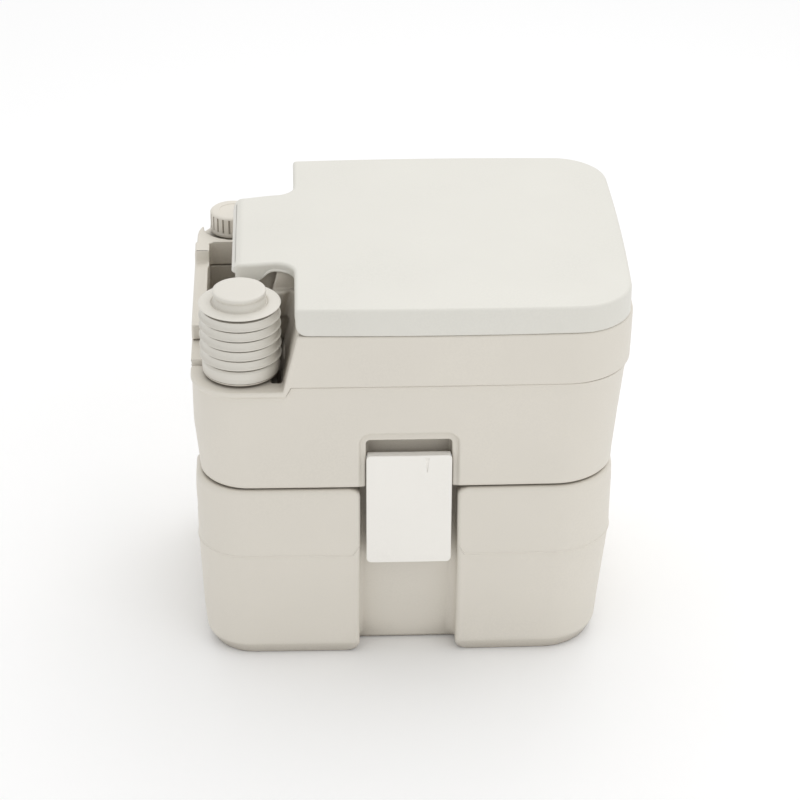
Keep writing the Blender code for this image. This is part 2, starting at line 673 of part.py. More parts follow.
def make_fill_cap():
    place = (CAP_X, CAP_Y, 0)
    cap = ribbed_cap("fill_cap", CAP_R, 0.3575, CAP_TOP_Z, NECK_R + 0.0006, 0.3775, place, "Z", 26)
    finish(cap, CREAM, 0.4, pivot=(CAP_X, CAP_Y, 0.3575))
    seal = ring_shape("fill_cap_seal", NECK_R - 0.0085, NECK_R - 0.0008, 0.3758, 0.3772, place, steps=24)
    finish(seal, GREY, 0.8)


def make_spout():
    bend = 0.024
    path = [(SPOUT_X, SPOUT_Y, z) for z in (0.126, 0.140, SPOUT_Z - bend)]
    for x, z in arc((SPOUT_X - bend, SPOUT_Z - bend), bend, 0, 90, 6)[1:]:
        path.append((x, SPOUT_Y, z))
    path += [(x, SPOUT_Y, SPOUT_Z) for x in (0.010, SPOUT_MOUTH_X)]
    spout = pipe("pour_spout", path, SPOUT_R, SPOUT_BORE_R, 24)
    finish(spout, CREAM, 0.45, pivot=(SPOUT_X, SPOUT_Y, SPOUT_FLOOR_Z))
    collar = [
        (SPOUT_R + 0.0016, SPOUT_FLOOR_Z + GAP), (0.0335, SPOUT_FLOOR_Z + GAP), (0.0335, 0.1465),
        (0.0310, 0.1490), (SPOUT_R + 0.0005, 0.1490), (SPOUT_R + 0.0005, 0.1460), (SPOUT_R + 0.0016, 0.1460),
    ]
    finish(turned("spout_collar", collar, (SPOUT_X, SPOUT_Y, 0), steps=32), CREAM)
    o_ring = ring_shape(
        "spout_o_ring", SPOUT_R + 0.0003, SPOUT_R + 0.0013, 0.1425, 0.1450, (SPOUT_X, SPOUT_Y, 0), steps=24
    )
    finish(o_ring, DARK, 0.7)
    mouth = (0, SPOUT_Y, SPOUT_Z)
    cap = ribbed_cap(
        "spout_cap", 0.0262, -0.0330, SPOUT_MOUTH_X - 0.0055, SPOUT_R + 0.0007, SPOUT_MOUTH_X - 0.0022,
        mouth, "X", 20,
    )
    finish(cap, CREAM, 0.4, pivot=(SPOUT_MOUTH_X, SPOUT_Y, SPOUT_Z))
    seal = ring_shape(
        "spout_cap_seal", 0.0150, 0.0215, SPOUT_MOUTH_X - 0.0019, SPOUT_MOUTH_X - 0.0003, mouth, "X", 24
    )
    finish(seal, GREY, 0.8)


def make_valve():
    """The slide valve: a housing screwed in the tank's top recess, a lip seal, a blade and its handle."""
    low = VALVE_FLOOR_Z + GAP
    housing = box("valve_housing", (-VALVE_HALF_X, -0.172, low), (VALVE_HALF_X, 0.0385, 0.2060))
    cut(
        housing,
        box("blade_slot", (-0.0555, -0.18, 0.1955), (0.0555, 0.0290, 0.2000)),
        rod("housing_bore", (0, THROAT_Y, 0.17), 0.05, THROAT_R, "Z", 32),
        ring_shape("seal_groove", THROAT_R - 0.001, 0.0515, 0.2035, 0.215, (0, THROAT_Y, 0)),
        box("handle_room", (-0.047, -0.18, 0.1930), (0.047, -0.150, 0.215)),
    )
    places = [(x, y) for x in (-0.0605, 0.0605) for y in (-0.140, 0.0330)]
    for index, (x, y) in enumerate(places, 1):
        cut(
            housing,
            rod(f"screw_bore{index}", (x, y, 0.18), 0.05, 0.0021, "Z", 10),
            rod(f"screw_sink{index}", (x, y, 0.2035), 0.01, 0.0042, "Z", 14),
        )
    finish(housing, CREAM)
    for index, (x, y) in enumerate(places, 1):
        profile = [(0, 0.1886), (0.0017, 0.1886), (0.0017, 0.2039), (0.0036, 0.2039), (0.0036, 0.2052), (0, 0.2058)]
        finish(turned(f"valve_screw_{index}", profile, (x, y, 0), steps=12), STEEL, 0.3, 1.0)
    lip = [(0.0440, 0.2038), (0.0510, 0.2038), (0.0510, 0.2068), (0.0480, 0.2088), (0.0455, 0.2088), (0.0440, 0.2068)]
    finish(turned("valve_lip_seal", lip, (0, THROAT_Y, 0), steps=32), DARK, 0.7)
    blade = box("valve_blade", (-0.0530, -0.176, 0.1962), (0.0530, 0.0250, 0.1993))
    finish(blade, GREY, 0.5, pivot=(0, THROAT_Y, 0.1978))
    grip = [(-0.2015, 0.1900), (-0.1880, 0.1900), (-0.1880, 0.1950), (-0.1765, 0.1955), (-0.1765, 0.2005),
            (-0.1900, 0.2050), (-0.1990, 0.2050), (-0.2015, 0.2030)]
    handle = extrude_x("valve_handle", grip, -0.0400, 0.0400)
    finish(handle, GREY, 0.5, pivot=(0, -0.19, 0.1978))


def make_vent():
    """A spring-loaded vent button in a dish of the rear wall."""
    place = (VENT_X, 0, VENT_Z)
    bush = [(0.0034, 0.1985), (0.0059, 0.1985), (0.0059, 0.2088), (0.0125, 0.2088), (0.0125, 0.2105),
            (0.0055, 0.2105), (0.0055, 0.2020), (0.0034, 0.2020)]
    finish(turned("vent_bush", bush, place, "Y", 20), CREAM)
    button = [(0, 0.1930), (0.0022, 0.1930), (0.0030, 0.1950), (0.0030, 0.2145), (0.0098, 0.2145),
              (0.0098, 0.2170), (0.0080, 0.2185), (0, 0.2190)]
    finish(turned("vent_button", button, place, "Y", 20), GREY, 0.5, pivot=(VENT_X, 0.2145, VENT_Z))
    spring = ring_shape("vent_spring", 0.0036, 0.0048, 0.2023, 0.2142, place, "Y", 14)
    finish(spring, STEEL, 0.3, 1.0)


def latch_outline():
    """The latch plate seen from the side, with rounded corners and a small nick in its top edge."""
    low_y, high_y = LATCH_MID_Y - LATCH_HALF_Y, LATCH_MID_Y + LATCH_HALF_Y
    r = 0.005
    outline = arc((high_y - r, LATCH_TOP_Z - r), r, 0, 90, 3)
    nick = low_y + 0.025
    outline += [(nick + 0.0045, LATCH_TOP_Z), (nick, LATCH_TOP_Z - 0.011), (nick - 0.0008, LATCH_TOP_Z)]
    outline += arc((low_y + r, LATCH_TOP_Z - r), r, 90, 180, 3)
    outline += arc((low_y + r, LATCH_BOTTOM_Z + r), r, 180, 270, 3)
    outline += arc((high_y - r, LATCH_BOTTOM_Z + r), r, 270, 360, 3)
    return outline


def make_latches():
    for side, name in ((-1, "near"), (1, "far")):
        outline = latch_outline()
        if side > 0:
            outline = [(2 * LATCH_MID_Y - y, z) for y, z in outline]
        pivot = (side * LATCH_PIVOT_X, LATCH_MID_Y, LATCH_PIVOT_Z)
        inner = side * (LATCH_FACE_X - 0.0032)
        plate = extrude_x(f"latch_{name}", outline, inner, side * LATCH_FACE_X)
        start = LATCH_MID_Y - LATCH_HALF_Y + 0.0012
        length = 2 * LATCH_HALF_Y - 0.0024
        barrel = rod(f"latch_barrel_{name}", (pivot[0], start, LATCH_PIVOT_Z), length, 0.0045, "Y", 14)
        web_x = sorted((pivot[0], side * (LATCH_FACE_X - 0.001)))
        web = box(
            f"latch_web_{name}", (web_x[0], start, LATCH_PIVOT_Z - 0.0030), (web_x[1], start + length, LATCH_PIVOT_Z)
        )
        join(plate, barrel, web)
        cut(plate, rod(f"latch_pin_room_{name}", (pivot[0], -0.06, LATCH_PIVOT_Z), 0.12, 0.0022, "Y", 12))
        finish(plate, WHITE, 0.35, pivot=pivot)
        pin_start = (pivot[0], LATCH_MID_Y - LATCH_PIN_HALF, LATCH_PIVOT_Z)
        pin = rod(f"latch_pin_{name}", pin_start, 2 * LATCH_PIN_HALF, 0.0019, "Y", 12)
        finish(pin, STEEL, 0.3, 1.0)
        leaf = [
            (0.1650, 0.1730), (0.1620, 0.1730), (0.1610, 0.1480), (0.1495, 0.1480), (0.1495, 0.1450),
            (0.1600, 0.1390), (0.1650, 0.1390),
        ]
        points = [[(side * x, y, z) for x, z in leaf] for y in (-0.0160, 0.0235)]
        finish(loft(f"latch_catch_{name}", points), WHITE, 0.35)


def make_hinge_pin():
    finish(rod("hinge_pin", (-0.0693, HINGE_Y, HINGE_Z), 0.1386, HINGE_PIN_R, "X"), STEEL, 0.3, 1.0)


def main():
    clear_scene()
    make_waste_tank()
    make_valve()
    make_vent()
    make_spout()
    make_flush_tank()
    make_flush_line()
    make_pump()
    make_fill_cap()
    make_hinge_pin()
    make_seat()
    make_lid()
    make_bumpers()
    make_latches()


main()
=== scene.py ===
"""Portable camp toilet: the visible surfaces, materials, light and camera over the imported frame.

Moulded shells are built as distance fields: each function returns how far a point is outside the
plastic, and shell() lays a mesh on its zero level, with the field's own slope as shading normals.
"""

import json
import math

import bmesh
import bpy
import numpy as np
from mathutils import Matrix, Vector


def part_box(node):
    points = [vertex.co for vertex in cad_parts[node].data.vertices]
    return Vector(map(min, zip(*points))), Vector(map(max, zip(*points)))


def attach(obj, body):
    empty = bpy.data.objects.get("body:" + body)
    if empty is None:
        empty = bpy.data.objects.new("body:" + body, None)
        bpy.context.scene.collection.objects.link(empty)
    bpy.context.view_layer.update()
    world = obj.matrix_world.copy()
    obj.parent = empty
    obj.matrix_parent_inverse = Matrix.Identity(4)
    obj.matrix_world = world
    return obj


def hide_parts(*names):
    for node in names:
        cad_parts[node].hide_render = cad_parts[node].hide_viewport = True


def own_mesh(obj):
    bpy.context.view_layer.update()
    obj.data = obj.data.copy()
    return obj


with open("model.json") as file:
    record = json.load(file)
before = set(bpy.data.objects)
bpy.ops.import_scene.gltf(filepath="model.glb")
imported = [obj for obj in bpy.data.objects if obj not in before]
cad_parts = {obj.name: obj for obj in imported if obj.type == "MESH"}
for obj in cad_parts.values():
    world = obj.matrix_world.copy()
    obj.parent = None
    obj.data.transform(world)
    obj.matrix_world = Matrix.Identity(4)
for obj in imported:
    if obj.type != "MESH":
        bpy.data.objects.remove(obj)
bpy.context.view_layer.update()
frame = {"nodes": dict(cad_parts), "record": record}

scene = bpy.context.scene

# -------------------------------- places, from the frame

def middle_of(node):
    return [(start + end) / 2 for start, end in zip(*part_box(node))]


lid_low, lid_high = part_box("lid")
flush_low, flush_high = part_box("flush_tank")
waste_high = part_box("waste_tank")[1]
seat_low, seat_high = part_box("seat")
button_low, button_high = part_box("pump_button")
bellows_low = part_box("pump_bellows")[0]
cap_low, cap_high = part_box("fill_cap")
plate_low, plate_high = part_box("latch_near")
base_low, base_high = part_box("pump_base")

LID_TOP = lid_high.z
PUMP_X, PUMP_Y, _ = middle_of("pump_button")
CAP_X, CAP_Y, _ = middle_of("fill_cap")
VENT_X, _, VENT_Z = middle_of("vent_button")
_, HINGE_Y, HINGE_Z = middle_of("hinge_pin")
HINGE = (HINGE_Y, HINGE_Z)
_, LATCH_Y, LATCH_Z = middle_of("latch_near")
LATCH_HALF = (plate_high.y - plate_low.y) / 2

# Sizes that more than one piece uses.
KNUCKLE_R = 0.0065
PIN_HOLE_R = 0.0032
PEDESTAL_HALF = 0.0708
PEDESTAL_REAR = 0.1752
HINGE_ROOM_HALF = 0.0704


# -------------------------------- distance fields

def both(a, b, r=0.0):
    """Where two shapes meet, the corner between them rounded to radius r."""
    if r <= 0:
        return np.maximum(a, b)
    return np.minimum(-r, np.maximum(a, b)) + np.hypot(np.maximum(r + a, 0), np.maximum(r + b, 0))


def either(a, b, r=0.0):
    """Two shapes as one, the hollow between them filled to radius r."""
    if r <= 0:
        return np.minimum(a, b)
    return np.maximum(r, np.minimum(a, b)) - np.hypot(np.maximum(r - a, 0), np.maximum(r - b, 0))


def without(a, b, r=0.0):
    """Shape a with b cut out of it, the cut's rim rounded to radius r."""
    return both(a, -b, r)


def block(x, y, z, low, high, r=0.0):
    """A box with its edges rounded to radius r."""
    far = None
    near = None
    for value, start, end in zip((x, y, z), low, high):
        side = np.abs(value - (start + end) / 2) - (end - start) / 2 + r
        square = np.maximum(side, 0) ** 2
        far = square if far is None else far + square
        near = side if near is None else np.maximum(near, side)
    return np.sqrt(far) + np.minimum(near, 0) - r


def rounded(a, b, r):
    """A corner of radius r, a and b being how far past its two centre lines a point is."""
    return np.minimum(np.maximum(a, b), 0) + np.hypot(np.maximum(a, 0), np.maximum(b, 0)) - r


def bar(u, v, middle, half, r=0.0):
    """A rounded rectangle in the plane of u and v."""
    return rounded(np.abs(u - middle[0]) - half[0] + r, np.abs(v - middle[1]) - half[1] + r, r)


def disc(u, v, middle, r):
    """A round bar or hole that runs across the plane of u and v."""
    return np.hypot(u - middle[0], v - middle[1]) - r


def span(value, start, end):
    """The slab from start to end."""
    return np.abs(value - (start + end) / 2) - (end - start) / 2


def ramp(value, start, end):
    """0 before start, 1 after end, and a smooth rise between."""
    t = np.clip((value - start) / (end - start), 0, 1)
    return t * t * (3 - 2 * t)


def profile(z, sections, column, blur=0.004):
    """A column of a section table at height z, its corners softened over the distance blur."""
    heights = [row[0] for row in sections]
    values = [row[column] for row in sections]
    total = 0.0
    for shift in (-1.0, -0.6, -0.2, 0.2, 0.6, 1.0):
        total = total + np.interp(z + shift * blur, heights, values)
    return total / 6


def wall(x, y, z, sections, front_bow=0.003, side_bow=0.0015, blur=0.004):
    """A tank's upright wall: a rounded rectangle in plan that changes with height."""
    half, front, rear = (profile(z, sections, column, blur) for column in (1, 2, 3))
    r_front, r_rear = (profile(z, sections, column, blur) for column in (4, 5))
    middle, reach = (front + rear) / 2, (rear - front) / 2
    along = (y - middle) / reach
    half = half + side_bow * (1 - np.clip(along, -1, 1) ** 2)
    bow = front_bow * (1 - np.clip(x / half, -1, 1) ** 2) * np.clip(-along, 0, 1) ** 2
    r = np.where(along < 0, r_front, r_rear)
    return rounded(np.abs(x) - half + r, np.abs(y - middle) - reach - bow + r, r)


# -------------------------------- meshes from fields

BLOCK = 8
FLAT_DEGREES = 0.25
CORNERS = np.array([(i, j, k) for i in (0, 1) for j in (0, 1) for k in (0, 1)])
EDGES = [(p, q) for p in range(8) for q in range(p + 1, 8) if np.abs(CORNERS[p] - CORNERS[q]).sum() == 1]


def lines(low, high, step, *zones):
    """Grid lines from low to high, step apart, drawing closer in each zone (from, to, step)."""
    found = [low]
    while found[-1] < high:
        here = found[-1]
        size = step
        for start, end, fine in zones:
            size = min(size, fine + 0.35 * max(start - here, here - end, 0.0))
        found.append(here + size)
    while (len(found) - 1) % BLOCK:
        found.append(found[-1] + step)
    return np.array(found)


def two_sided(*zones):
    """The zones, and the same ones mirrored to the other side of 0."""
    return *zones, *((-end, -start, fine) for start, end, fine in zones)


def near_blocks(field, axes):
    """First cells of the blocks of the grid that the surface may pass through."""
    firsts = [np.arange(0, len(axis) - 1, BLOCK) for axis in axes]
    middles = [(axis[first] + axis[first + BLOCK]) / 2 for axis, first in zip(axes, firsts)]
    halves = [(axis[first + BLOCK] - axis[first]) / 2 for axis, first in zip(axes, firsts)]
    x, y, z = np.meshgrid(*middles, indexing="ij")
    a, b, c = np.meshgrid(*halves, indexing="ij")
    near = np.abs(field(x, y, z)) < 1.3 * np.sqrt(a * a + b * b + c * c) + 0.002
    return np.stack([first[index] for first, index in zip(firsts, np.nonzero(near))], axis=1)


def net(field, axes):
    """Points and quads on a field's zero level, one point in each grid cell that it crosses."""
    counts = [len(axis) for axis in axes]
    starts = near_blocks(field, axes)
    points, keys, quads = [], [], []
    for first in range(0, len(starts), 400):
        start = starts[first:first + 400]
        index = [start[:, k, None] + np.arange(BLOCK + 1) for k in range(3)]
        place = [axis[i] for axis, i in zip(axes, index)]
        values = field(place[0][:, :, None, None], place[1][:, None, :, None], place[2][:, None, None, :])
        values = np.broadcast_to(values, (len(start),) + (BLOCK + 1,) * 3)
        inside = values < 0
        tally = 0
        for i, j, k in CORNERS:
            tally = tally + inside[:, i:i + BLOCK, j:j + BLOCK, k:k + BLOCK].astype(np.int8)
        block_of, i, j, k = np.nonzero((tally > 0) & (tally < 8))
        cell = (i, j, k)
        at = np.stack([values[block_of, i + a, j + b, k + c] for a, b, c in CORNERS], axis=1)
        spots = np.stack(
            [
                np.stack([place[n][block_of, cell[n] + corner[n]] for n in range(3)], axis=1)
                for corner in CORNERS
            ],
            axis=1,
        )
        total, hits = 0.0, 0
        for p, q in EDGES:
            crossed = (at[:, p] < 0) != (at[:, q] < 0)
            gap = np.where(crossed, at[:, p] - at[:, q], 1.0)
            t = np.clip(at[:, p] / gap, 0, 1)[:, None]
            total = total + np.where(crossed[:, None], spots[:, p] + t * (spots[:, q] - spots[:, p]), 0)
            hits = hits + crossed
        points.append(total / hits[:, None])
        keys.append(key_of(counts, *(index[n][block_of, cell[n]] for n in range(3))))
        for axis in range(3):
            quads.append(edge_quads(inside, index, counts, axis))
    points, keys = np.concatenate(points), np.concatenate(keys)
    order = np.argsort(keys)
    points, keys = points[order], keys[order]
    quads = np.concatenate(quads)
    found = np.minimum(np.searchsorted(keys, quads), len(keys) - 1)
    return points, found[(keys[found] == quads).all(axis=1)]


def key_of(counts, i, j, k):
    return (i.astype(np.int64) * counts[1] + j) * counts[2] + k


def edge_quads(inside, index, counts, axis):
    """A quad round each grid edge along this axis that the surface crosses, facing outwards."""
    head = [slice(0, BLOCK)] * 3
    tail = list(head)
    tail[axis] = slice(1, BLOCK + 1)
    start, end = inside[(slice(None), *head)], inside[(slice(None), *tail)]
    block_of, *cell = np.nonzero(start != end)
    base = [index[n][block_of, cell[n]] for n in range(3)]
    u, v = (axis + 1) % 3, (axis + 2) % 3
    corners = []
    for du, dv in ((-1, -1), (0, -1), (0, 0), (-1, 0)):
        shifted = list(base)
        shifted[u] = base[u] + du
        shifted[v] = base[v] + dv
        corners.append(key_of(counts, *shifted))
    quads = np.stack(corners, axis=1)
    outward = start[(block_of, *cell)]
    return np.where(outward[:, None], quads, quads[:, ::-1])


def slope(field, points, step=3e-5):
    """The field's slope at each point, which is the way out of the surface."""
    found = np.empty_like(points)
    for axis in range(3):
        shift = np.zeros(3)
        shift[axis] = step
        ahead, behind = points + shift, points - shift
        found[:, axis] = (field(*ahead.T) - field(*behind.T)) / (2 * step)
    return found


def settle(field, points, most):
    """Moves points onto the field's zero level, none of them further than most."""
    start = points.copy()
    for _ in range(2):
        way = slope(field, points)
        steep = np.maximum((way * way).sum(axis=1), 0.2)
        points = points - (field(*points.T) / steep)[:, None] * way
    move = points - start
    length = np.linalg.norm(move, axis=1, keepdims=True)
    return start + move * np.minimum(1, most / np.maximum(length, 1e-12))


def added(name, data):
    """A new object in the scene."""
    made = bpy.data.objects.new(name, data)
    scene.collection.objects.link(made)
    return made


def shell(name, field, xs, ys, zs, most=0.0015):
    """A mesh on the field's surface. Faces that lie nearly in one plane are joined."""
    points, quads = net(field, (xs, ys, zs))
    points = settle(field, points, most)
    mesh = bpy.data.meshes.new(name)
    mesh.from_pydata(points.tolist(), [], quads.tolist())
    mesh.validate()
    piece = added(name, mesh)
    merge = piece.modifiers.new("merge", "DECIMATE")
    merge.decimate_type = "DISSOLVE"
    merge.angle_limit = math.radians(FLAT_DEGREES)
    bake(piece)
    shade_by(field, piece)
    return piece


def bake(piece):
    """Applies the piece's modifiers to its mesh."""
    graph = bpy.context.evaluated_depsgraph_get()
    graph.update()
    made = bpy.data.meshes.new_from_object(piece.evaluated_get(graph))
    piece.modifiers.clear()
    old = piece.data
    piece.data = made
    bpy.data.meshes.remove(old)


def shade_by(field, piece):
    """Smooth shading with the field's slope as the normals."""
    mesh = piece.data
    co = np.empty(len(mesh.vertices) * 3)
    mesh.vertices.foreach_get("co", co)
    way = slope(field, co.reshape(-1, 3))
    way /= np.maximum(np.linalg.norm(way, axis=1, keepdims=True), 1e-9)
    mesh.shade_smooth()
    mesh.normals_split_custom_set_from_vertices(way.tolist())


def mirrored(piece, name):
    """A copy on the other side of the middle plane x = 0."""
    twin = added(name, piece.data.copy())
    normals = [(-n.vector.x, n.vector.y, n.vector.z) for n in piece.data.vertex_normals]
    twin.data.transform(Matrix.Scale(-1, 4, (1, 0, 0)))
    twin.data.flip_normals()
    twin.data.normals_split_custom_set_from_vertices(normals)
    return twin


def finished(piece, body, slot, node):
    """Gives a piece its body and the finish of its slot, and hides the CAD node it stands for."""
    piece.data.materials.clear()
    piece.data.materials.append(FINISH_OF_SLOT[slot])
    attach(piece, body)
    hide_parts(node)


# -------------------------------- turned pieces

def smooth_by_angle(piece, degrees=38.0):
    """Smooth shading, with edges sharper than this kept crisp."""
    piece.data.shade_smooth()
    made = bmesh.new()
    made.from_mesh(piece.data)
    for edge in made.edges:
        edge.smooth = edge.calc_face_angle(0.0) < math.radians(degrees)
    made.to_mesh(piece.data)
    made.free()


def eased(points, r, steps=4, closed=True):
    """A profile with each corner rounded by an arc of about radius r."""
    found = []
    count = len(points)
    for index, (u, v) in enumerate(points):
        if not closed and index in (0, count - 1):
            found.append((u, v))
            continue
        before, after = points[index - 1], points[(index + 1) % count]
        here = Vector((u, v))
        back, ahead = Vector(before) - here, Vector(after) - here
        reach = min(r, 0.42 * back.length, 0.42 * ahead.length)
        start, end = here + back.normalized() * reach, here + ahead.normalized() * reach
        for k in range(steps + 1):
            t = k / steps
            spot = start * (1 - t) ** 2 + here * (2 * t * (1 - t)) + end * t ** 2
            found.append((spot.x, spot.y))
    return found


def joined(name, verts, faces):
    """A piece from points and faces, its faces turned outwards."""
    mesh = bpy.data.meshes.new(name)
    mesh.from_pydata(verts, [], faces)
    mesh.validate()
    piece = added(name, mesh)
    made = bmesh.new()
    made.from_mesh(mesh)
    bmesh.ops.recalc_face_normals(made, faces=made.faces)
    made.to_mesh(mesh)
    made.free()
    smooth_by_angle(piece)
    return piece


def turned(name, points, place, steps, closed=False, shape=None):
    """A profile of (radius, height) swept round a vertical axis, the radius altered by shape()."""
    verts, faces, rings = [], [], []
    for radius, height in points:
        if radius < 1e-6:
            rings.append([len(verts)])
            verts.append((0.0, 0.0, height))
            continue
        rings.append(list(range(len(verts), len(verts) + steps)))
        for k in range(steps):
            turn = 2 * math.pi * k / steps
            far = shape(turn, radius, height) if shape else radius
            verts.append((far * math.cos(turn), far * math.sin(turn), height))
    pairs = list(zip(rings, rings[1:]))
    if closed:
        pairs.append((rings[-1], rings[0]))
    for low, high in pairs:
        for k in range(steps):
            after = (k + 1) % steps
            if len(low) > 1 and len(high) > 1:
                faces.append((low[k], low[after], high[after], high[k]))
            elif len(high) > 1:
                faces.append((low[0], high[after], high[k]))
            elif len(low) > 1:
                faces.append((low[k], low[after], high[0]))
    return joined(name, [Vector(spot) + Vector(place) for spot in verts], faces)


# -------------------------------- materials

class Nodes:
    """Adds shader nodes to a new material, from left to right."""

    def __init__(self, name):
        self.material = bpy.data.materials.new(name)
        self.material.use_nodes = True
        self.tree = self.material.node_tree
        self.shader = self.tree.nodes["Principled BSDF"]
        self.place = self.add("ShaderNodeTexCoord").outputs["Object"]

    def feed(self, node, inputs):
        """Sets the node's inputs, or links them where a value comes from another node."""
        for name, value in inputs.items():
            socket = node.inputs[name]
            if isinstance(value, bpy.types.NodeSocket):
                self.tree.links.new(value, socket)
            else:
                socket.default_value = (*value, 1.0) if socket.type == "RGBA" else value
        return node

    def add(self, kind, inputs={}, **settings):
        node = self.tree.nodes.new(kind)
        for key, value in settings.items():
            setattr(node, key, value)
        return self.feed(node, inputs)

    def noise(self, scale, detail=3.0, roughness=0.5):
        inputs = {"Vector": self.place, "Scale": scale, "Detail": detail, "Roughness": roughness}
        return self.add("ShaderNodeTexNoise", inputs).outputs["Fac"]

    def remap(self, value, low, high, to_low, to_high):
        inputs = {"Value": value, "From Min": low, "From Max": high, "To Min": to_low, "To Max": to_high}
        return self.add("ShaderNodeMapRange", inputs).outputs["Result"]

    def mix(self, fac, first, second):
        return self.add("ShaderNodeMix", {0: fac, 6: first, 7: second}, data_type="RGBA").outputs[2]

    def bump(self, *layers):
        """Bumps of (height, strength, distance), one over the other."""
        below = {}
        for height, strength, distance in layers:
            inputs = {"Height": height, "Strength": strength, "Distance": distance, **below}
            below = {"Normal": self.add("ShaderNodeBump", inputs).outputs["Normal"]}
        self.feed(self.shader, below)


def shade(colour, factor):
    return tuple(channel * factor for channel in colour)


def plastic(name, colour, roughness=0.42, grain=0.12, wear=0.5, painted_shade_strength=0.0, reach=0.010):
    """Moulded plastic: faint colour drift, satin grain, edges rubbed lighter, and painted shade that darkens
    its sheltered corners and recesses.
    """
    made = Nodes(name)
    drift = made.remap(made.noise(9.0, 4.0), 0.35, 0.65, 0.0, 1.0)
    speck = made.remap(made.noise(420.0, 2.0), 0.40, 0.60, 0.0, 1.0)
    base = made.mix(drift, shade(colour, 0.975), shade(colour, 1.02))
    base = made.mix(speck, base, colour)
    edge = made.remap(made.add("ShaderNodeNewGeometry").outputs["Pointiness"], 0.52, 0.60, 0.0, wear)
    base = made.mix(edge, base, tuple(min(0.93, channel * 1.07) for channel in colour))
    # Painted shade: where ambient occlusion finds the surface sheltered, the base colour is darkened towards
    # dark brown, standing in for the shade in crevices, recesses and under lips.
    if painted_shade_strength:
        occlusion = made.add("ShaderNodeAmbientOcclusion", {"Distance": reach}, samples=8)
        painted_shade_mask = made.remap(occlusion.outputs["AO"], 0.10, 0.58, painted_shade_strength, 0.0)
        base = made.mix(painted_shade_mask, base, (0.20 * colour[0], 0.16 * colour[1], 0.12 * colour[2]))
    rubbed = made.remap(made.noise(35.0, 5.0, 0.6), 0.3, 0.7, roughness - 0.05, roughness + 0.06)
    made.feed(made.shader, {"Base Color": base, "Roughness": rubbed, "IOR": 1.46, "Specular IOR Level": 0.4})
    made.bump((made.noise(60.0, 3.0), 0.10, 0.0004), (made.noise(1500.0, 2.0), grain, 0.0002))
    return made.material


def rubber(name, colour, roughness=0.75):
    """Soft rubber, dull, with fine dust in its grain."""
    made = Nodes(name)
    dust = made.remap(made.noise(160.0, 5.0, 0.65), 0.45, 0.75, 0.0, 0.5)
    dusty = tuple(0.6 * channel + 0.06 for channel in colour)
    dull = made.remap(made.noise(80.0), 0.3, 0.7, roughness - 0.1, roughness + 0.1)
    made.feed(made.shader, {"Base Color": made.mix(dust, colour, dusty), "Roughness": dull})
    made.bump((made.noise(900.0, 3.0), 0.3, 0.0002))
    return made.material


def steel(name):
    """Drawn stainless steel with fine lines along the wire or pin."""
    made = Nodes(name)
    stretch = made.add("ShaderNodeMapping", {"Vector": made.place, "Scale": (30.0, 1800.0, 1800.0)})
    grain = made.add("ShaderNodeTexNoise", {"Vector": stretch.outputs["Vector"], "Scale": 1.0})
    drawn = grain.outputs["Fac"]
    shine = made.mix(drawn, (0.52, 0.52, 0.53), (0.68, 0.68, 0.69))
    rough = made.remap(drawn, 0.3, 0.7, 0.22, 0.38)
    made.feed(made.shader, {"Base Color": shine, "Roughness": rough, "Metallic": 1.0})
    made.bump((drawn, 0.15, 0.0001))
    return made.material


def hose(name, colour):
    """Milky flexible tube."""
    made = Nodes(name)
    cloud = made.remap(made.noise(70.0, 4.0), 0.35, 0.65, 0.0, 1.0)
    made.feed(made.shader, {
        "Base Color": made.mix(cloud, shade(colour, 0.94), colour),
        "Roughness": made.remap(made.noise(200.0), 0.3, 0.7, 0.22, 0.34),
        "Subsurface Weight": 0.3,
        "Subsurface Radius": (0.003, 0.003, 0.0025),
    })
    made.bump((made.noise(500.0, 2.0), 0.1, 0.0002))
    return made.material


FINISH_OF_SLOT = {
    "seat_plastic": plastic("lid_plastic", (0.745, 0.730, 0.672), 0.40, 0.10),
    # The tank and pump finishes carry painted shade in their crevices and recesses.
    "tank_plastic": plastic("tank_plastic", (0.748, 0.708, 0.632), 0.46, 0.16, painted_shade_strength=0.60, reach=0.045),
    "latch_plastic": plastic("latch_plastic", (0.925, 0.902, 0.850), 0.38, 0.06),
    "pump_plastic": plastic("pump_plastic", (0.735, 0.708, 0.645), 0.42, 0.08, painted_shade_strength=0.65, reach=0.0090),
    "grey_plastic": plastic("grey_plastic", (0.30, 0.30, 0.29), 0.50, 0.14),
    "seal_rubber": rubber("black_rubber", (0.022, 0.022, 0.022)),
    "pale_rubber": rubber("pale_rubber", (0.42, 0.41, 0.39), 0.65),
    "steel": steel("drawn_steel"),
    "tube_plastic": hose("milky_hose", (0.80, 0.80, 0.76)),
}


# -------------------------------- lid

LID_BOTTOM = lid_low.z
LID_HALF = lid_high.x
LID_FRONT = lid_low.y
LID_BOW = 0.0045
LID_WALL = 0.0034
LID_EDGE = 0.0038
NOTCH_Y = 0.1166
NOTCH_ROOT = 0.0205
SHORT_SKIRT = 0.0107
CHEEK = 0.022
TONGUE_HALF = 0.0745
TONGUE_FAR = 0.0820
TONGUE_REAR = lid_high.y
WEB_START, WEB_END = 0.032, 0.056


def lid_plan(x, y):
    """The lid from above: a bowed plate with a tongue between the rear notches."""
    side = np.abs(x)
    half = LID_HALF - 0.003 * ((y + 0.04) / 0.157) ** 2
    front = LID_FRONT + LID_BOW * (x / LID_HALF) ** 2
    corner = np.where(y < -0.05, 0.052, 0.004)
    middle, reach = (front + NOTCH_Y) / 2, (NOTCH_Y - front) / 2
    plate = rounded(side - half + corner, np.abs(y - middle) - reach + corner, corner)
    near_half = TONGUE_HALF - 0.0035 * ramp(-y, -0.172, -0.128)
    far_half = TONGUE_FAR + 0.0075 * ramp(-y, -0.178, -0.132)
    tongue = bar(side, y, (0.0, 0.05), (np.where(x < 0, near_half, far_half), TONGUE_REAR - 0.05), 0.010)
    return either(plate, tongue, NOTCH_ROOT)


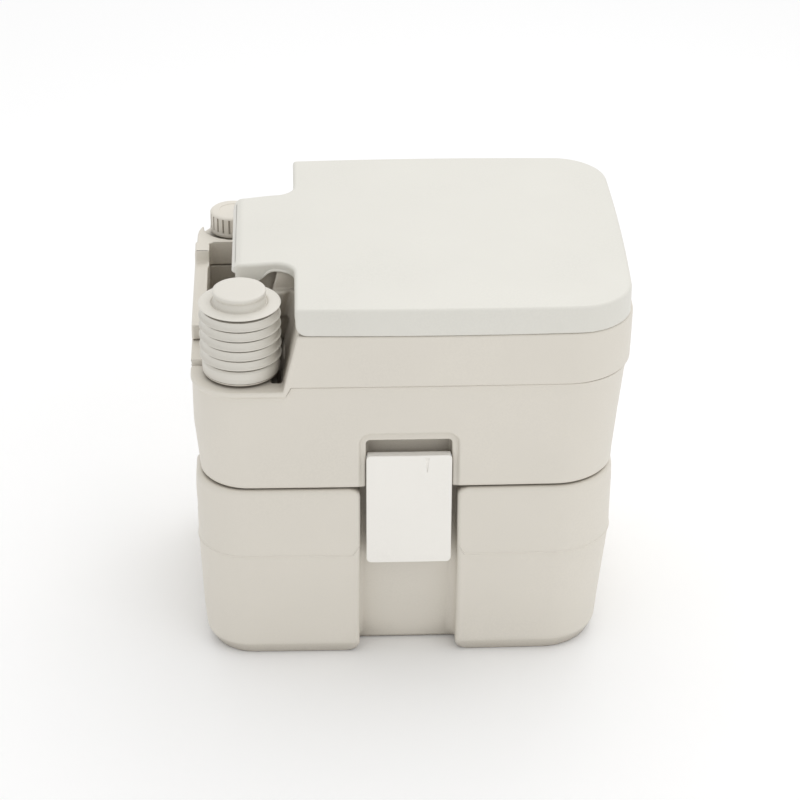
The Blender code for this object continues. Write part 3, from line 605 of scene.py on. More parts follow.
def lid_skirt(x, y, z):
    """How far down the skirt reaches: deep round the front, short in the notches, between at the tongue."""
    side = np.abs(x)
    short = LID_TOP - SHORT_SKIRT - z
    end = NOTCH_Y - 0.0045 + 0.0040 * ramp(side, 0.164, 0.171)
    deep = both(y - end, LID_BOTTOM - z, 0.012)
    outer = either(short, deep, 0.003)
    tongue = both(LID_TOP - CHEEK - z, y - TONGUE_REAR + 0.001, 0.006)
    tongue = both(tongue, 0.1460 - y, 0.012)
    tongue = either(tongue, short, 0.009)
    tongue = either(tongue, both(y - NOTCH_Y + 0.0045, LID_BOTTOM - z), 0.004)
    return np.where(side < np.where(x < 0, 0.0785, 0.092), np.minimum(tongue, outer), outer)


def lid_field(x, y, z):
    """The lid's shell, with the webs and barrels that turn on the hinge pin."""
    skirt = lid_skirt(x, y, z)
    lip = ramp(skirt, -0.0032, -0.0016) * ramp(y, 0.120, 0.128) * ramp(-y, -0.150, -0.145)
    plan = lid_plan(x, y) - 0.0008 * lip
    crown = LID_TOP - 0.0006 * np.clip((x / LID_HALF) ** 2 + (y / 0.2) ** 2, 0, 1.5)
    roll = both(y - TONGUE_REAR, z - crown, LID_TOP - HINGE_Z)
    shape = both(both(plan, z - crown, LID_EDGE), roll)
    inside = both(plan + LID_WALL, z - LID_TOP + LID_WALL, 0.003)
    shape = without(shape, inside, 0.0006)
    room_low, room_high = (-HINGE_ROOM_HALF, 0.150, 0.38), (HINGE_ROOM_HALF, PEDESTAL_REAR, LID_TOP - 0.0060)
    shape = without(shape, block(x, y, z, room_low, room_high))
    shape = both(shape, skirt, 0.0007)
    foot = both(both(np.abs(x) - 0.0715, 0.165 - y), z - HINGE_Z)
    shape = without(shape, foot)
    side = np.abs(x)
    web_low, web_high = (WEB_START, HINGE_Y - 0.005, HINGE_Z), (WEB_END, HINGE_Y + 0.003, LID_TOP - 0.001)
    web = block(side, y, z, web_low, web_high, 0.0004)
    barrel = both(disc(y, z, HINGE, KNUCKLE_R), span(side, WEB_START, WEB_END), 0.0004)
    shape = either(shape, either(web, barrel, 0.001), 0.0006)
    return without(shape, both(disc(y, z, HINGE, PIN_HOLE_R), side - 0.070))


def make_lid():
    xs = lines(-0.182, 0.182, 0.006, *two_sided(
        (0.028, 0.060, 0.0018), (0.064, 0.090, 0.0010), (0.118, 0.168, 0.0015), (0.168, 0.181, 0.0010)))
    ys = lines(-0.226, 0.183, 0.006, (-0.225, -0.214, 0.0010), (-0.214, -0.166, 0.0015),
               (0.104, 0.150, 0.0010), (0.150, 0.160, 0.0016), (0.160, 0.181, 0.0009))
    zs = lines(0.3880, 0.4220, 0.0022, (0.388, 0.393, 0.0006), (0.396, 0.4215, 0.0007))
    finished(shell("lid_shell", lid_field, xs, ys, zs), "lid_cover", "seat_plastic", "lid")


make_lid()


# -------------------------------- flush tank

# Rows of a tank's wall: height, half width, front, rear, corner radius at the front and at the rear.
FLUSH_WALL = (
    (0.2090, 0.1632, -0.2050, 0.2150, 0.060, 0.050),
    (0.2250, 0.1643, -0.2057, 0.2162, 0.060, 0.050),
    (0.2700, 0.1665, -0.2095, 0.2205, 0.060, 0.050),
    (0.3220, 0.1702, -0.2140, 0.2205, 0.058, 0.048),
    (0.3330, 0.1716, -0.2152, 0.2208, 0.057, 0.047),
)
BAND_WALL = (
    (0.3200, 0.1744, -0.2182, 0.2217, 0.066, 0.046),
    (0.3370, 0.1752, -0.2188, 0.2217, 0.065, 0.045),
    (0.3875, 0.1757, -0.2194, 0.2214, 0.060, 0.045),
)
BOWL = (  # height, half width, half length, middle
    (0.2000, 0.043, 0.043, -0.030),
    (0.2250, 0.043, 0.043, -0.030),
    (0.2400, 0.050, 0.055, -0.035),
    (0.2800, 0.070, 0.082, -0.045),
    (0.3300, 0.095, 0.110, -0.055),
    (0.3700, 0.110, 0.127, -0.059),
    (0.3920, 0.115, 0.132, -0.060),
)
PARTING_Z = 0.3325
PARTING_DROP = 0.011
DECK_Z = 0.390
REAR_DECK_Z = flush_high.z
POCKET_FLOOR = 0.3300
HOLLOW_FLOOR = 0.3000
RIM_Z = 0.3275
PLATFORM_Z = 0.360
RECESS_Z = 0.352
RECESS_R = 0.0315
NECK_R = 0.020
LINER = 0.0024
REAR_WALL_Z = 0.350
REAR_WALL_Y = 0.2075
PUMP_BORE_R = 0.0295
PUMP_BORE_FLOOR = 0.306
NECK_TOP = 0.3755


def parting(x, y):
    """Height of the line where the tank's halves meet: it drops round the pump's pocket."""
    beside = np.clip((y - 0.1215) / 0.0055, 0, 1) * np.clip((-0.112 - x) / 0.0055, 0, 1)
    return PARTING_Z - PARTING_DROP * beside


def pocket_front(z):
    """The leaning wall in front of the pump."""
    return np.clip(0.1145 + 0.241 * (0.390 - z), 0.1105, 0.1340)


def pocket_gap(x, y, z):
    """The deep slot between the pump and that wall."""
    slot = block(x, y, z, (-0.155, 0.1200, HOLLOW_FLOOR), (-0.0705, 0.1415, 0.36), 0.004)
    return both(slot, pocket_front(z) - y, 0.004)


def rear_hollow(x, y, z):
    """The hollow behind the hinge, running on under the cap's platform."""
    low, high = (-PEDESTAL_HALF - 0.03, PEDESTAL_REAR, HOLLOW_FLOOR), (0.0645, REAR_WALL_Y, 0.46)
    under = block(x, y, z, (0.0400, 0.1760, HOLLOW_FLOOR), (0.0980, REAR_WALL_Y - 0.001, 0.3790), 0.004)
    return either(block(x, y, z, low, high, 0.008), under, 0.002)


def pocket(x, y, z, outside):
    """The open corner round the bellows pump."""
    front = pocket_front(z)
    behind = both(both(x + 0.060, front + 0.0190 - y, 0.003), y - 0.1600, 0.003)
    sides = either(both(x + PEDESTAL_HALF + 0.0008, front - y, 0.0135), behind, 0.0040)
    post = np.hypot(x + 0.0700, y - front - 0.0150) - 0.0090
    sides = without(sides, post, 0.0040)
    body = both(sides, outside + 0.0062, 0.004)
    body = both(body, POCKET_FLOOR - z, 0.005)
    above = both(RIM_Z - z, sides, 0.002)
    return either(either(body, pocket_gap(x, y, z), 0.003), above)


def rear_wall_top(x):
    """The rear wall stands higher behind the hinge and falls away beside the pump."""
    return RIM_Z + (REAR_WALL_Z - RIM_Z) * ramp(x, -0.160, -0.110)


def rear_cuts(x, y, z):
    """What is open behind the lid: the hollow behind the hinge, the cap's platform and its recess."""
    hollow = rear_hollow(x, y, z)
    above_wall = both(both(rear_wall_top(x) - z, PEDESTAL_REAR - y), x - 0.0715, 0.003)
    platform = both(both(PLATFORM_Z - z, 0.0716 - x, 0.006), 0.1165 - y, 0.005)
    recess = both(disc(x, y, (CAP_X, CAP_Y), RECESS_R), RECESS_Z - z, 0.002)
    bore = both(disc(x, y, (CAP_X, CAP_Y), NECK_R - 0.003), 0.300 - z)
    return either(either(hollow, above_wall), either(platform, either(recess, bore), 0.0016))


def pump_bore(x, y, z):
    return both(disc(x, y, (PUMP_X, PUMP_Y), PUMP_BORE_R), PUMP_BORE_FLOOR - z)


def bowl(x, y, z):
    """The room inside the bowl and its liner."""
    half_x, half_y, middle = (profile(z, BOWL, column, 0.006) for column in (1, 2, 3))
    u, v = x / half_x, (y - middle) / half_y
    far = np.maximum(np.hypot(u, v), 1e-6)
    return (far - 1) * np.minimum(half_x, half_y) - LINER


def latch_cuts(x, y, z):
    """The shallow recess round each latch and the finger slot above its plate."""
    side = np.abs(x)
    recess = bar(y, z, (LATCH_Y, 0.215), (LATCH_HALF + 0.0065, 0.0590), 0.012)
    slot = bar(y, z, (LATCH_Y, 0.222), (LATCH_HALF, 0.0420), 0.0040)
    return either(both(recess, 0.1625 - side, 0.003), both(slot, 0.146 - side, 0.003), 0.0022)


def tank_openings(x, y, z, outside):
    """Everything cut from the flush tank."""
    found = either(pocket(x, y, z, outside), rear_cuts(x, y, z))
    found = either(found, bowl(x, y, z))
    side = np.abs(x)
    channel = block(side, y, z, (-0.01, 0.05, 0.395), (0.0585, 0.20, 0.46), 0.002)
    room = block(side, y, z, (-0.01, 0.1565, 0.3965), (0.09, 0.20, 0.46), 0.002)
    found = either(found, either(channel, room))
    return either(either(found, pump_bore(x, y, z)), latch_cuts(x, y, z))


def hinge_arm(x, y, z):
    """The tank's two arms round the ends of the hinge pin."""
    barrel = disc(y, z, HINGE, KNUCKLE_R)
    foot = block(0 * x, y, z, (-1, 0.150, HINGE_Z - KNUCKLE_R - 0.006), (1, HINGE_Y, HINGE_Z - 0.001), 0.001)
    arm = both(either(barrel, foot, 0.004), span(np.abs(x), 0.060, 0.0695), 0.0006)
    return without(arm, disc(y, z, HINGE, PIN_HOLE_R - 0.0001))


def tank_body(x, y, z, outside):
    """The upper half: the band, the rear deck, the hinge pedestal and what is cut from them."""
    strip = block(x, y, z, (-0.168, 0.085, 0.37), (0.168, 0.1158, REAR_DECK_Z), 0.0022)
    pedestal = both(bar(x, y, (0, 0.130), (PEDESTAL_HALF, 0.0445), 0.006), z - REAR_DECK_Z, 0.0022)
    turn = np.hypot(np.maximum(x - 0.1130, 0), np.maximum(y - 0.1560, 0)) - 0.0645
    walls = np.where((x > 0.10) & (y > 0.10), both(outside, turn, 0.004), outside)
    return either(either(strip, pedestal, 0.001), both(walls, z - DECK_Z, 0.003), 0.002)


def upper_field(x, y, z):
    """The tank above its parting line."""
    outside = wall(x, y, z, BAND_WALL)
    shape = tank_body(x, y, z, outside)
    shape = both(shape, parting(x, y) + 0.00025 - z, 0.0022)
    shape = without(shape, tank_openings(x, y, z, outside), 0.0024)
    return either(shape, hinge_arm(x, y, z), 0.001)


def lower_field(x, y, z):
    """The tank below its parting line, with a bead just under it."""
    line = parting(x, y)
    bead = 0.0009 * ramp(z, line - 0.0042, line - 0.0016)
    outside = wall(x, y, z, FLUSH_WALL) - bead
    shape = both(outside, z - line + 0.00025, 0.0014)
    shape = both(shape, flush_low.z - z, 0.0052)
    shape = without(shape, latch_cuts(x, y, z), 0.0028)
    found = either(bowl(x, y, z), pump_bore(x, y, z))
    hollow = either(rear_hollow(x, y, z), pocket_gap(x, y, z))
    return without(shape, either(found, hollow), 0.0012)


def neck_piece():
    """The filler neck with its thread, open to the tank below."""
    inner, outer = NECK_R - 0.0035, NECK_R - 0.0012
    root, crest = outer - 0.0008, outer + 0.0009
    points = [
        (inner, RECESS_Z - 0.02), (root, RECESS_Z - 0.02), (root, RECESS_Z + 0.0008),
        (outer, RECESS_Z + 0.002),
    ]
    for z in (0.3625, 0.3660, 0.3695):
        points += [(outer, z), (crest, z + 0.0008), (crest, z + 0.0014), (outer, z + 0.0022)]
    points += [
        (outer, NECK_TOP - 0.0007), (outer - 0.0006, NECK_TOP), (inner + 0.0005, NECK_TOP),
        (inner, NECK_TOP - 0.0005),
    ]
    return turned("filler_neck", points, (CAP_X, CAP_Y, 0), 64, closed=True)


def bowl_liner():
    """The bowl: one smooth oval skin from the seat down to the valve."""
    lip = 0.3865
    upright = np.linspace(flush_low.z - 0.0005, lip, 60)
    flared = np.linspace(lip + 0.0005, DECK_Z - 0.0003, 8)
    heights = np.concatenate([upright, flared])
    rings = [(z, 0.0) for z in heights] + [(z, LINER + 0.0002) for z in heights[::-1]]
    verts, faces, steps = [], [], 160
    for z, grow in rings:
        half_x, half_y, middle = (float(profile(z, BOWL, column, 0.006)) for column in (1, 2, 3))
        flare = 0.0022 * max(0.0, (z - lip) / (DECK_Z - lip)) ** 2 if grow == 0.0 else 0.0
        across, along = half_x + grow + flare, half_y + grow + flare
        for k in range(steps):
            turn = 2 * math.pi * k / steps
            verts.append((across * math.cos(turn), middle + along * math.sin(turn), float(z)))
    for ring in range(len(rings)):
        after = (ring + 1) % len(rings)
        for k in range(steps):
            m = (k + 1) % steps
            faces.append((ring * steps + k, after * steps + k, after * steps + m, ring * steps + m))
    return joined("bowl_liner", verts, faces)


def make_flush_tank():
    xs = lines(-0.180, 0.180, 0.006, (-0.1785, -0.160, 0.0012), (-0.146, -0.092, 0.0032),
               (-0.100, -0.058, 0.0012), (0.055, 0.085, 0.0016), (0.085, 0.150, 0.0036),
               (0.160, 0.1785, 0.0012))
    ys = lines(-0.224, 0.226, 0.006, (-0.223, -0.200, 0.0014), (-0.200, -0.160, 0.003),
               (-0.045, -0.036, 0.0014), (0.044, 0.054, 0.0014), (0.083, 0.088, 0.0016),
               (0.106, 0.150, 0.0012), (0.150, 0.180, 0.0020), (0.180, 0.204, 0.0026),
               (0.204, 0.2245, 0.0010))
    zs = lines(0.3190, 0.4120, 0.004, (0.3195, 0.3290, 0.0008), (0.3300, 0.3375, 0.0007),
               (0.346, 0.364, 0.0012), (0.384, 0.4095, 0.0012))
    upper = shell("flush_tank_upper", upper_field, xs, ys, zs)
    xs = lines(-0.176, 0.176, 0.007, *two_sided((0.110, 0.158, 0.0034), (0.158, 0.1745, 0.0013)))
    ys = lines(-0.220, 0.225, 0.007, (-0.218, -0.200, 0.0016), (-0.200, -0.155, 0.0034),
               (-0.050, -0.034, 0.0012), (0.044, 0.058, 0.0012), (0.118, 0.130, 0.0012),
               (0.170, 0.205, 0.0030), (0.205, 0.2235, 0.0016))
    zs = lines(0.2070, 0.3345, 0.005, (0.2085, 0.2150, 0.0009), (0.254, 0.278, 0.0013),
               (0.3165, 0.3330, 0.0007))
    lower = shell("flush_tank_lower", lower_field, xs, ys, zs)
    for piece in (upper, lower, bowl_liner(), neck_piece()):
        finished(piece, "flush_unit", "tank_plastic", "flush_tank")


make_flush_tank()


# -------------------------------- pump

DISC_R = (button_high.x - button_low.x) / 2
FOLDS = 5
FOLD_Z = 0.3495
FOLD_PITCH = 0.0108
FOLD_DEPTH = 0.0030
SLIT_DEPTH = 0.0100
NECK_IN = 0.030
STEPS = 144


def mould_line(turn, radius, _):
    """A faint raised seam down the side that faces out from the tank."""
    away = abs((turn - math.radians(187) + math.pi) % (2 * math.pi) - math.pi) * radius
    return radius + 0.00022 * max(0.0, 1 - (away / 0.0007) ** 2)


def knob_profile(low, high):
    """The button: a thin disc, and a knob with a waist that stands in a groove of the disc."""
    return [
        (0.0, low), (DISC_R - 0.0008, low), (DISC_R, low + 0.0006), (DISC_R, low + 0.0009),
        (DISC_R - 0.0014, low + 0.0015), (0.0330, low + 0.0023), (0.0292, low + 0.0024),
        (0.0272, low + 0.0010), (0.0266, low + 0.0022), (0.0262, low + 0.0050), (0.0252, low + 0.0076),
        (0.0246, low + 0.0090), (0.0256, low + 0.0104), (0.0266, low + 0.0118), (0.0268, high - 0.0022),
        (0.0262, high - 0.0007), (0.0240, high), (0.0160, high), (0.0, high),
    ]


def bellows_profile(bottom, top):
    """The bellows: a bulging foot, then folds that flare down to thin lips with a slit under each."""
    slit = DISC_R - SLIT_DEPTH
    points = [
        (0.0383, bottom - 0.0001), (0.0388, bottom + 0.0050), (0.0385, bottom + 0.0110),
        (0.0372, FOLD_Z - 0.0034), (slit, FOLD_Z - 0.0030),
    ]
    for fold in range(FOLDS):
        z = FOLD_Z + fold * FOLD_PITCH
        points += [
            (slit, z - 0.0008), (DISC_R - 0.0010, z - 0.0006), (DISC_R, z - 0.0001),
            (DISC_R - 0.0004, z + 0.0006), (DISC_R - 0.0017, z + 0.0014), (DISC_R - 0.0026, z + 0.0028),
            (DISC_R - FOLD_DEPTH, z + 0.0046), (DISC_R - FOLD_DEPTH, z + 0.0079), (slit, z + 0.0083),
        ]
    return points + [(slit, top), (NECK_IN, top), (NECK_IN, bottom - 0.0001)]


def collar_profile(low, high, floor):
    """The collar: a sleeve down through the pocket's floor, closed below but for the dip tube."""
    plug, ring = 0.0085, 0.0130
    return [
        (plug, low), (0.0285, low), (0.0285, floor), (0.0372, floor), (0.0380, floor + 0.0008),
        (0.0383, high), (0.0250, high), (0.0250, low + 0.003), (ring, low + 0.003),
        (ring, low + 0.0022), (plug, low + 0.0022),
    ]


def make_pump():
    place = (PUMP_X, PUMP_Y, 0)
    top = button_low.z + 0.0028
    knob = eased(knob_profile(top, button_high.z), 0.0009, 4, closed=False)
    piece = turned("pump_knob", knob, place, STEPS, shape=mould_line)
    finished(piece, "pump_plunger", "pump_plastic", "pump_button")

    skin = eased(bellows_profile(bellows_low.z, top - 0.0003), 0.0004, 3)
    piece = turned("bellows_skin", skin, place, STEPS, closed=True, shape=mould_line)
    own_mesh(piece)
    finished(piece, "flush_unit", "pump_plastic", "pump_bellows")

    collar = eased(collar_profile(base_low.z, base_high.z, POCKET_FLOOR + 0.0003), 0.0008, 3)
    piece = turned("pump_collar", collar, place, STEPS, closed=True)
    finished(piece, "flush_unit", "tank_plastic", "pump_base")


make_pump()


# -------------------------------- filler cap

CAP_R = (cap_high.x - cap_low.x) / 2 - 0.0004
CAP_INNER = 0.0206
CAP_GROOVES = 22
GROOVE_DEPTH = 0.0019


def cap_grooves(turn, far, height):
    """Upright grooves round the cap's side, clear of its open rim and its top edge."""
    tall = cap_high.z - cap_low.z
    along = height - cap_low.z
    if far < CAP_R - 0.0016 or along < 0.20 * tall or along > tall - 0.0024:
        return far
    phase = (turn * CAP_GROOVES / (2 * math.pi)) % 1.0
    return far - GROOVE_DEPTH * min(1.0, max(0.0, (0.140 - abs(phase - 0.5)) / 0.035))


def make_fill_cap():
    start, end = cap_low.z, cap_high.z
    rim = CAP_R + 0.0004
    points = [(CAP_INNER, start), (CAP_R - 0.0004, start)]
    for far, share in ((rim, 0.0), (rim, 0.12), (CAP_R, 0.17), (CAP_R, 0.205), (CAP_R, 0.5), (CAP_R, 0.885)):
        points.append((far, start + (end - start) * share))
    points += [
        (CAP_R, end - 0.0023), (CAP_R - 0.0004, end - 0.0014), (CAP_R - 0.0016, end - 0.0004),
        (CAP_R - 0.0034, end), (0.60 * CAP_R, end), (0.58 * CAP_R, end - 0.0006), (0.0, end - 0.0006),
        (0.0, end - 0.0025), (CAP_INNER, end - 0.0025),
    ]
    place = (CAP_X, CAP_Y, 0)
    cap = turned("fill_cap_ribbed", points, place, CAP_GROOVES * 20, closed=True, shape=cap_grooves)
    finished(cap, "fill_closure", "tank_plastic", "fill_cap")


make_fill_cap()


# -------------------------------- waste tank

WASTE_WALL = (  # rows as in FLUSH_WALL
    (0.0000, 0.1465, -0.1885, 0.2055, 0.050, 0.042),
    (0.0145, 0.1534, -0.1955, 0.2135, 0.055, 0.045),
    (0.0180, 0.1540, -0.1962, 0.2142, 0.056, 0.046),
    (0.0450, 0.1555, -0.1985, 0.2165, 0.058, 0.048),
    (0.1310, 0.1660, -0.2060, 0.2195, 0.060, 0.050),
    (0.1900, 0.1652, -0.2066, 0.2206, 0.060, 0.050),
    (0.2090, 0.1645, -0.2062, 0.2200, 0.060, 0.050),
)
GROOVE_INNER = 0.144
GROOVE_HALF = LATCH_HALF + 0.006
SEAM_Z = 0.131
SEAM_RISE = 0.012
VALVE_FLOOR = 0.188
SPOUT_FLOOR = 0.140
THROAT_Y = -0.030
THROAT_R = 0.043
SPOUT_X, SPOUT_Y = 0.070, 0.168


def waste_groove(x, y, z):
    """The grooves behind the latches, their floors turning softly into the front wall."""
    side = np.abs(x)
    half = GROOVE_HALF + 0.0010 * ramp(-z, -0.190, -0.060)
    top, foot = 0.0090, 0.0120
    rise = np.clip(z - waste_high.z + top, 0, top)
    drop = np.clip(foot - z, 0, foot)
    half = half + top - np.sqrt(top ** 2 - rise ** 2) + foot - np.sqrt(foot ** 2 - drop ** 2)
    floor = GROOVE_INNER - 0.0195 * np.clip(1 - z / 0.120, 0, 1) - side
    front, rear = both(LATCH_Y - y - half, floor, 0.0100), both(y - LATCH_Y - half, floor, 0.0050)
    return np.where(y < LATCH_Y, front, rear)


def waste_openings(x, y, z):
    """The spout's and the valve's recesses, the vent's dish and bore, the throat and the spout's hole."""
    spout = block(x, y, z, (-0.085, 0.122, SPOUT_FLOOR), (0.108, 0.26, 0.24), 0.004)
    valve = block(x, y, z, (-0.068, -0.25, VALVE_FLOOR), (0.068, 0.040, 0.24), 0.004)
    scoop = block(x, y, z, (-0.045, -0.25, 0.165), (0.045, -0.179, 0.24), 0.006)
    dish = both(disc(x, z, (VENT_X, VENT_Z), 0.0135), 0.2088 - y, 0.002)
    bore = both(disc(x, z, (VENT_X, VENT_Z), 0.0060), 0.195 - y)
    throat = both(disc(x, y, (0, THROAT_Y), THROAT_R), 0.150 - z)
    hole = both(disc(x, y, (SPOUT_X, SPOUT_Y), 0.0228), 0.100 - z)
    return either(either(spout, either(valve, scoop)), either(either(dish, bore), either(throat, hole)))


def seam_height(y):
    """The waste tank's parting line climbs where it meets a groove."""
    return SEAM_Z + SEAM_RISE * np.clip(1 - (np.abs(y - LATCH_Y) - GROOVE_HALF) / 0.008, 0, 1)


def waste_field(x, y, z):
    """The waste tank with its parting bead, grooves, openings and the ledges the catches hook under."""
    outside = wall(x, y, z, WASTE_WALL, blur=0.0012)
    line = np.where(np.abs(x) > 0.12, seam_height(y), SEAM_Z)
    outside = outside - 0.0009 * np.maximum(0, 1 - ((z - line) / 0.0011) ** 2)
    shape = both(outside, z - waste_high.z, 0.0056)
    shape = both(shape, -z, 0.0015)
    shape = without(shape, waste_groove(x, y, z), 0.0048)
    ledge = block(np.abs(x), y, z, (0.140, -0.018, 0.150), (0.1545, 0.0255, 0.157), 0.001)
    shape = either(shape, ledge, 0.001)
    return without(shape, waste_openings(x, y, z), 0.0016)


def make_waste_tank():
    xs = lines(-0.172, 0.172, 0.007, *two_sided(
        (0.066, 0.070, 0.002), (0.100, 0.141, 0.0036), (0.1415, 0.168, 0.0012)))
    ys = lines(-0.214, 0.225, 0.007, (-0.2115, -0.195, 0.0013), (-0.195, -0.150, 0.0034),
               (-0.062, -0.036, 0.0009), (0.036, 0.070, 0.0009), (0.118, 0.126, 0.002),
               (0.160, 0.205, 0.0032), (0.205, 0.2225, 0.0013))
    zs = lines(-0.002, 0.2105, 0.006, (-0.001, 0.005, 0.0010), (0.005, 0.030, 0.0022),
               (0.128, 0.146, 0.0007), (0.150, 0.158, 0.0012), (0.186, 0.196, 0.0016),
               (0.197, 0.2085, 0.0009))
    tank = shell("waste_tank_shell", waste_field, xs, ys, zs)
    finished(tank, "waste_unit", "tank_plastic", "waste_tank")


make_waste_tank()


# -------------------------------- latches

PLATE_FACE = -plate_low.x
PLATE_THICK = 0.0032
PLATE_FRONT = LATCH_Y - LATCH_HALF
PLATE_REAR = LATCH_Y + LATCH_HALF
PIVOT_X = 0.158
PIVOT_Z = 0.243
NICK_Y = PLATE_FRONT + 0.0250


def latch_field(x, y, z):
    """One latch on the +X side: a plate with softened edges, a tapered nick and its hinge barrel."""
    face = PLATE_FACE - 0.0003 * ((y - LATCH_Y) / LATCH_HALF) ** 2
    outline = bar(y, z, (LATCH_Y, LATCH_Z), (LATCH_HALF, (plate_high.z - plate_low.z) / 2), 0.005)
    plate = both(outline, x - face, 0.0011)
    plate = both(plate, PLATE_FACE - PLATE_THICK - x, 0.0004)
    foot = 0.0008 * ramp(-z, -0.132, -0.124)
    plate = both(plate, x - face + foot, 0.001)
    nick_top = plate_high.z - 0.0030
    wide = 0.0017 * (1 - np.clip((nick_top - z) / 0.0160, 0, 1))
    nick = both(np.abs(y - NICK_Y) - wide - 0.0002, nick_top - 0.0160 - z)
    nick = both(nick, z - nick_top)
    nick = both(nick, face - 0.0012 - x, 0.0003)
    plate = without(plate, nick, 0.0004)
    length = span(y, PLATE_FRONT + 0.0012, PLATE_REAR - 0.0012)
    barrel = both(disc(x, z, (PIVOT_X, PIVOT_Z), 0.0045), length, 0.0006)
    web = both(span(x, PIVOT_X, PLATE_FACE - 0.001), span(z, PIVOT_Z - 0.003, PIVOT_Z))
    web = both(web, length, 0.0006)
    shape = either(plate, either(barrel, web, 0.001), 0.0008)
    return without(shape, disc(x, z, (PIVOT_X, PIVOT_Z), 0.0022))


def make_latches():
    front, rear, low, high = PLATE_FRONT, PLATE_REAR, plate_low.z, plate_high.z
    xs = lines(0.1520, 0.1700, 0.0006)
    ys = lines(front - 0.001, rear + 0.001, 0.004, (front - 0.001, front + 0.0055, 0.0006),
               (front + 0.022, front + 0.028, 0.0004), (rear - 0.0055, rear + 0.001, 0.0006))
    zs = lines(low - 0.001, high + 0.001, 0.004, (low - 0.001, low + 0.006, 0.0006),
               (high - 0.020, high - 0.012, 0.0012), (high - 0.012, high + 0.001, 0.0006))
    far = shell("latch_plate_far", latch_field, xs, ys, zs, most=0.0006)
    near = mirrored(far, "latch_plate_near")
    finished(far, "far_latch", "latch_plastic", "latch_far")
    finished(near, "near_latch", "latch_plastic", "latch_near")


make_latches()


# -------------------------------- seat

SEAT_HALF = seat_high.x
SEAT_TOP = 0.4115
SEAT_REAR = 0.082


def seat_field(x, y, z):
    """The seat: a flat ring with an oval opening, hollow below, and a tongue to the hinge."""
    front = seat_low.y + 0.004 * (x / SEAT_HALF) ** 2
    middle, reach = (front + SEAT_REAR) / 2, (SEAT_REAR - front) / 2
    corner = np.where(y < -0.05, 0.050, 0.012)
    half = SEAT_HALF - 0.001 * ((y + 0.065) / 0.147) ** 2
    plan = rounded(np.abs(x) - half + corner, np.abs(y - middle) - reach + corner, corner)
    far = np.maximum(np.hypot(x / 0.105, (y + 0.060) / 0.120), 1e-6)
    opening = (far - 1) * 0.110
    dish = SEAT_TOP - 0.0016 * np.clip(1 - opening / 0.030, 0, 1) ** 2
    ring = both(both(plan, z - dish, 0.0042), 0.3929 - z, 0.0008)
    ring = without(ring, opening, 0.0034)
    hollow = both(both(plan + 0.004, 0.004 - opening), z - 0.4045, 0.001)
    for bx in (-0.138, 0.138):
        for by in (-0.125, 0.045):
            hollow = without(hollow, disc(x, y, (bx, by), 0.0085))
    ring = without(ring, hollow, 0.0006)
    side = np.abs(x)
    tongue = block(side, y, z, (-0.02, 0.0765, 0.3965), (0.056, 0.1585, HINGE_Z), 0.0012)
    neck = block(side, y, z, (-0.02, 0.157, 0.402), (0.030, HINGE_Y, HINGE_Z), 0.0006)
    barrel = both(disc(y, z, HINGE, KNUCKLE_R), side - 0.030, 0.0006)
    shape = either(ring, either(tongue, either(neck, barrel, 0.001)), 0.002)
    return without(shape, disc(y, z, HINGE, PIN_HOLE_R))


def make_seat():
    xs = lines(-0.173, 0.173, 0.005, *two_sided((0.040, 0.164, 0.0026), (0.164, 0.172, 0.0012)))
    ys = lines(-0.215, 0.177, 0.005, (-0.2140, -0.205, 0.0012), (-0.205, 0.066, 0.0026),
               (0.066, 0.086, 0.0014), (0.154, 0.176, 0.0011))
    zs = lines(0.3915, 0.4165, 0.0012, (0.402, 0.4125, 0.0008))
    seat = shell("seat_ring_shell", seat_field, xs, ys, zs)
    finished(seat, "seat_ring", "seat_plastic", "seat")


make_seat()


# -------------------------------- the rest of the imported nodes

def finish_nodes():
    """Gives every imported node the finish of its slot."""
    slot_of = {part["node"]: part["material_slot"] for part in frame["record"]["subparts"]}
    for name, node in frame["nodes"].items():
        node.data.materials.clear()
        node.data.materials.append(FINISH_OF_SLOT[slot_of[name]])


finish_nodes()


# -------------------------------- floor, light and camera

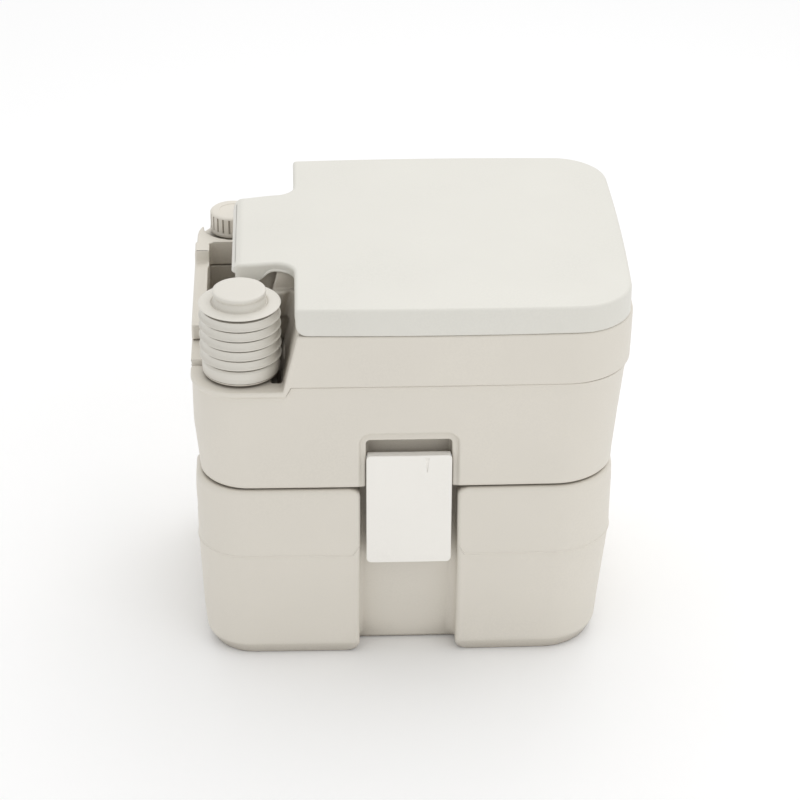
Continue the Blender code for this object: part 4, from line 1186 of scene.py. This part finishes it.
def make_floor():
    """A white sweep that runs far past the view."""
    mesh = bpy.data.meshes.new("floor")
    reach = 12.0
    corners = [(-reach, -reach, 0), (reach, -reach, 0), (reach, reach, 0), (-reach, reach, 0)]
    mesh.from_pydata(corners, [], [(0, 1, 2, 3)])
    floor = added("floor", mesh)
    paper = Nodes("floor_paper")
    white = paper.mix(paper.noise(2.0), (0.980, 0.980, 0.980), (0.988, 0.988, 0.988))
    paper.feed(paper.shader, {"Base Color": white, "Roughness": 0.9, "Specular IOR Level": 0.0})
    mesh.materials.append(paper.material)


def soft_light(name, place, aim, size, power):
    """A square soft box at place, turned to aim."""
    light = bpy.data.lights.new(name, "AREA")
    light.shape = "SQUARE"
    light.size = size
    light.energy = power
    lamp = added(name, light)
    lamp.location = place
    lamp.rotation_euler = (Vector(aim) - Vector(place)).to_track_quat("-Z", "Y").to_euler()


def sun_light(name, from_where, strength, spread):
    """Even light over the whole floor, from a wide patch of sky."""
    light = bpy.data.lights.new(name, "SUN")
    light.energy = strength
    light.angle = math.radians(spread)
    added(name, light).rotation_euler = Vector(from_where).to_track_quat("Z", "Y").to_euler()


def make_world(strength):
    world = bpy.data.worlds.new("studio")
    world.use_nodes = True
    background = world.node_tree.nodes["Background"]
    background.inputs["Color"].default_value = (1.0, 1.0, 1.0, 1.0)
    background.inputs["Strength"].default_value = strength
    scene.world = world


def make_camera():
    """The photograph's view: from the near (-X) side, looking down at 29.5 degrees."""
    data = bpy.data.cameras.new("camera")
    data.sensor_width = 36.0
    data.lens = 123.82
    camera = added("camera", data)
    right = Vector((-0.03864, -0.99924, 0.00407))
    forward = Vector((0.86985, -0.03564, -0.49203)).normalized()
    right = (right - forward * right.dot(forward)).normalized()
    up = right.cross(forward)
    turn = Matrix((right, up, -forward)).transposed()
    camera.matrix_world = Matrix.Translation((-2.5440, 0.1108, 1.6577)) @ turn.to_4x4()
    scene.camera = camera


make_floor()
make_world(0.73)
sun_light("sky_glow", (0.30, -0.16, 1.0), 0.70, 70.0)
soft_light("back_top", (1.0, -0.3, 1.5), (0.05, 0, 0.4), 1.0, 3.0)
soft_light("front_side", (-1.6, -1.0, 2.0), (0, 0, 0.15), 1.3, 5.2)
make_camera()
scene.view_settings.view_transform = "Standard"
scene.view_settings.look = "None"
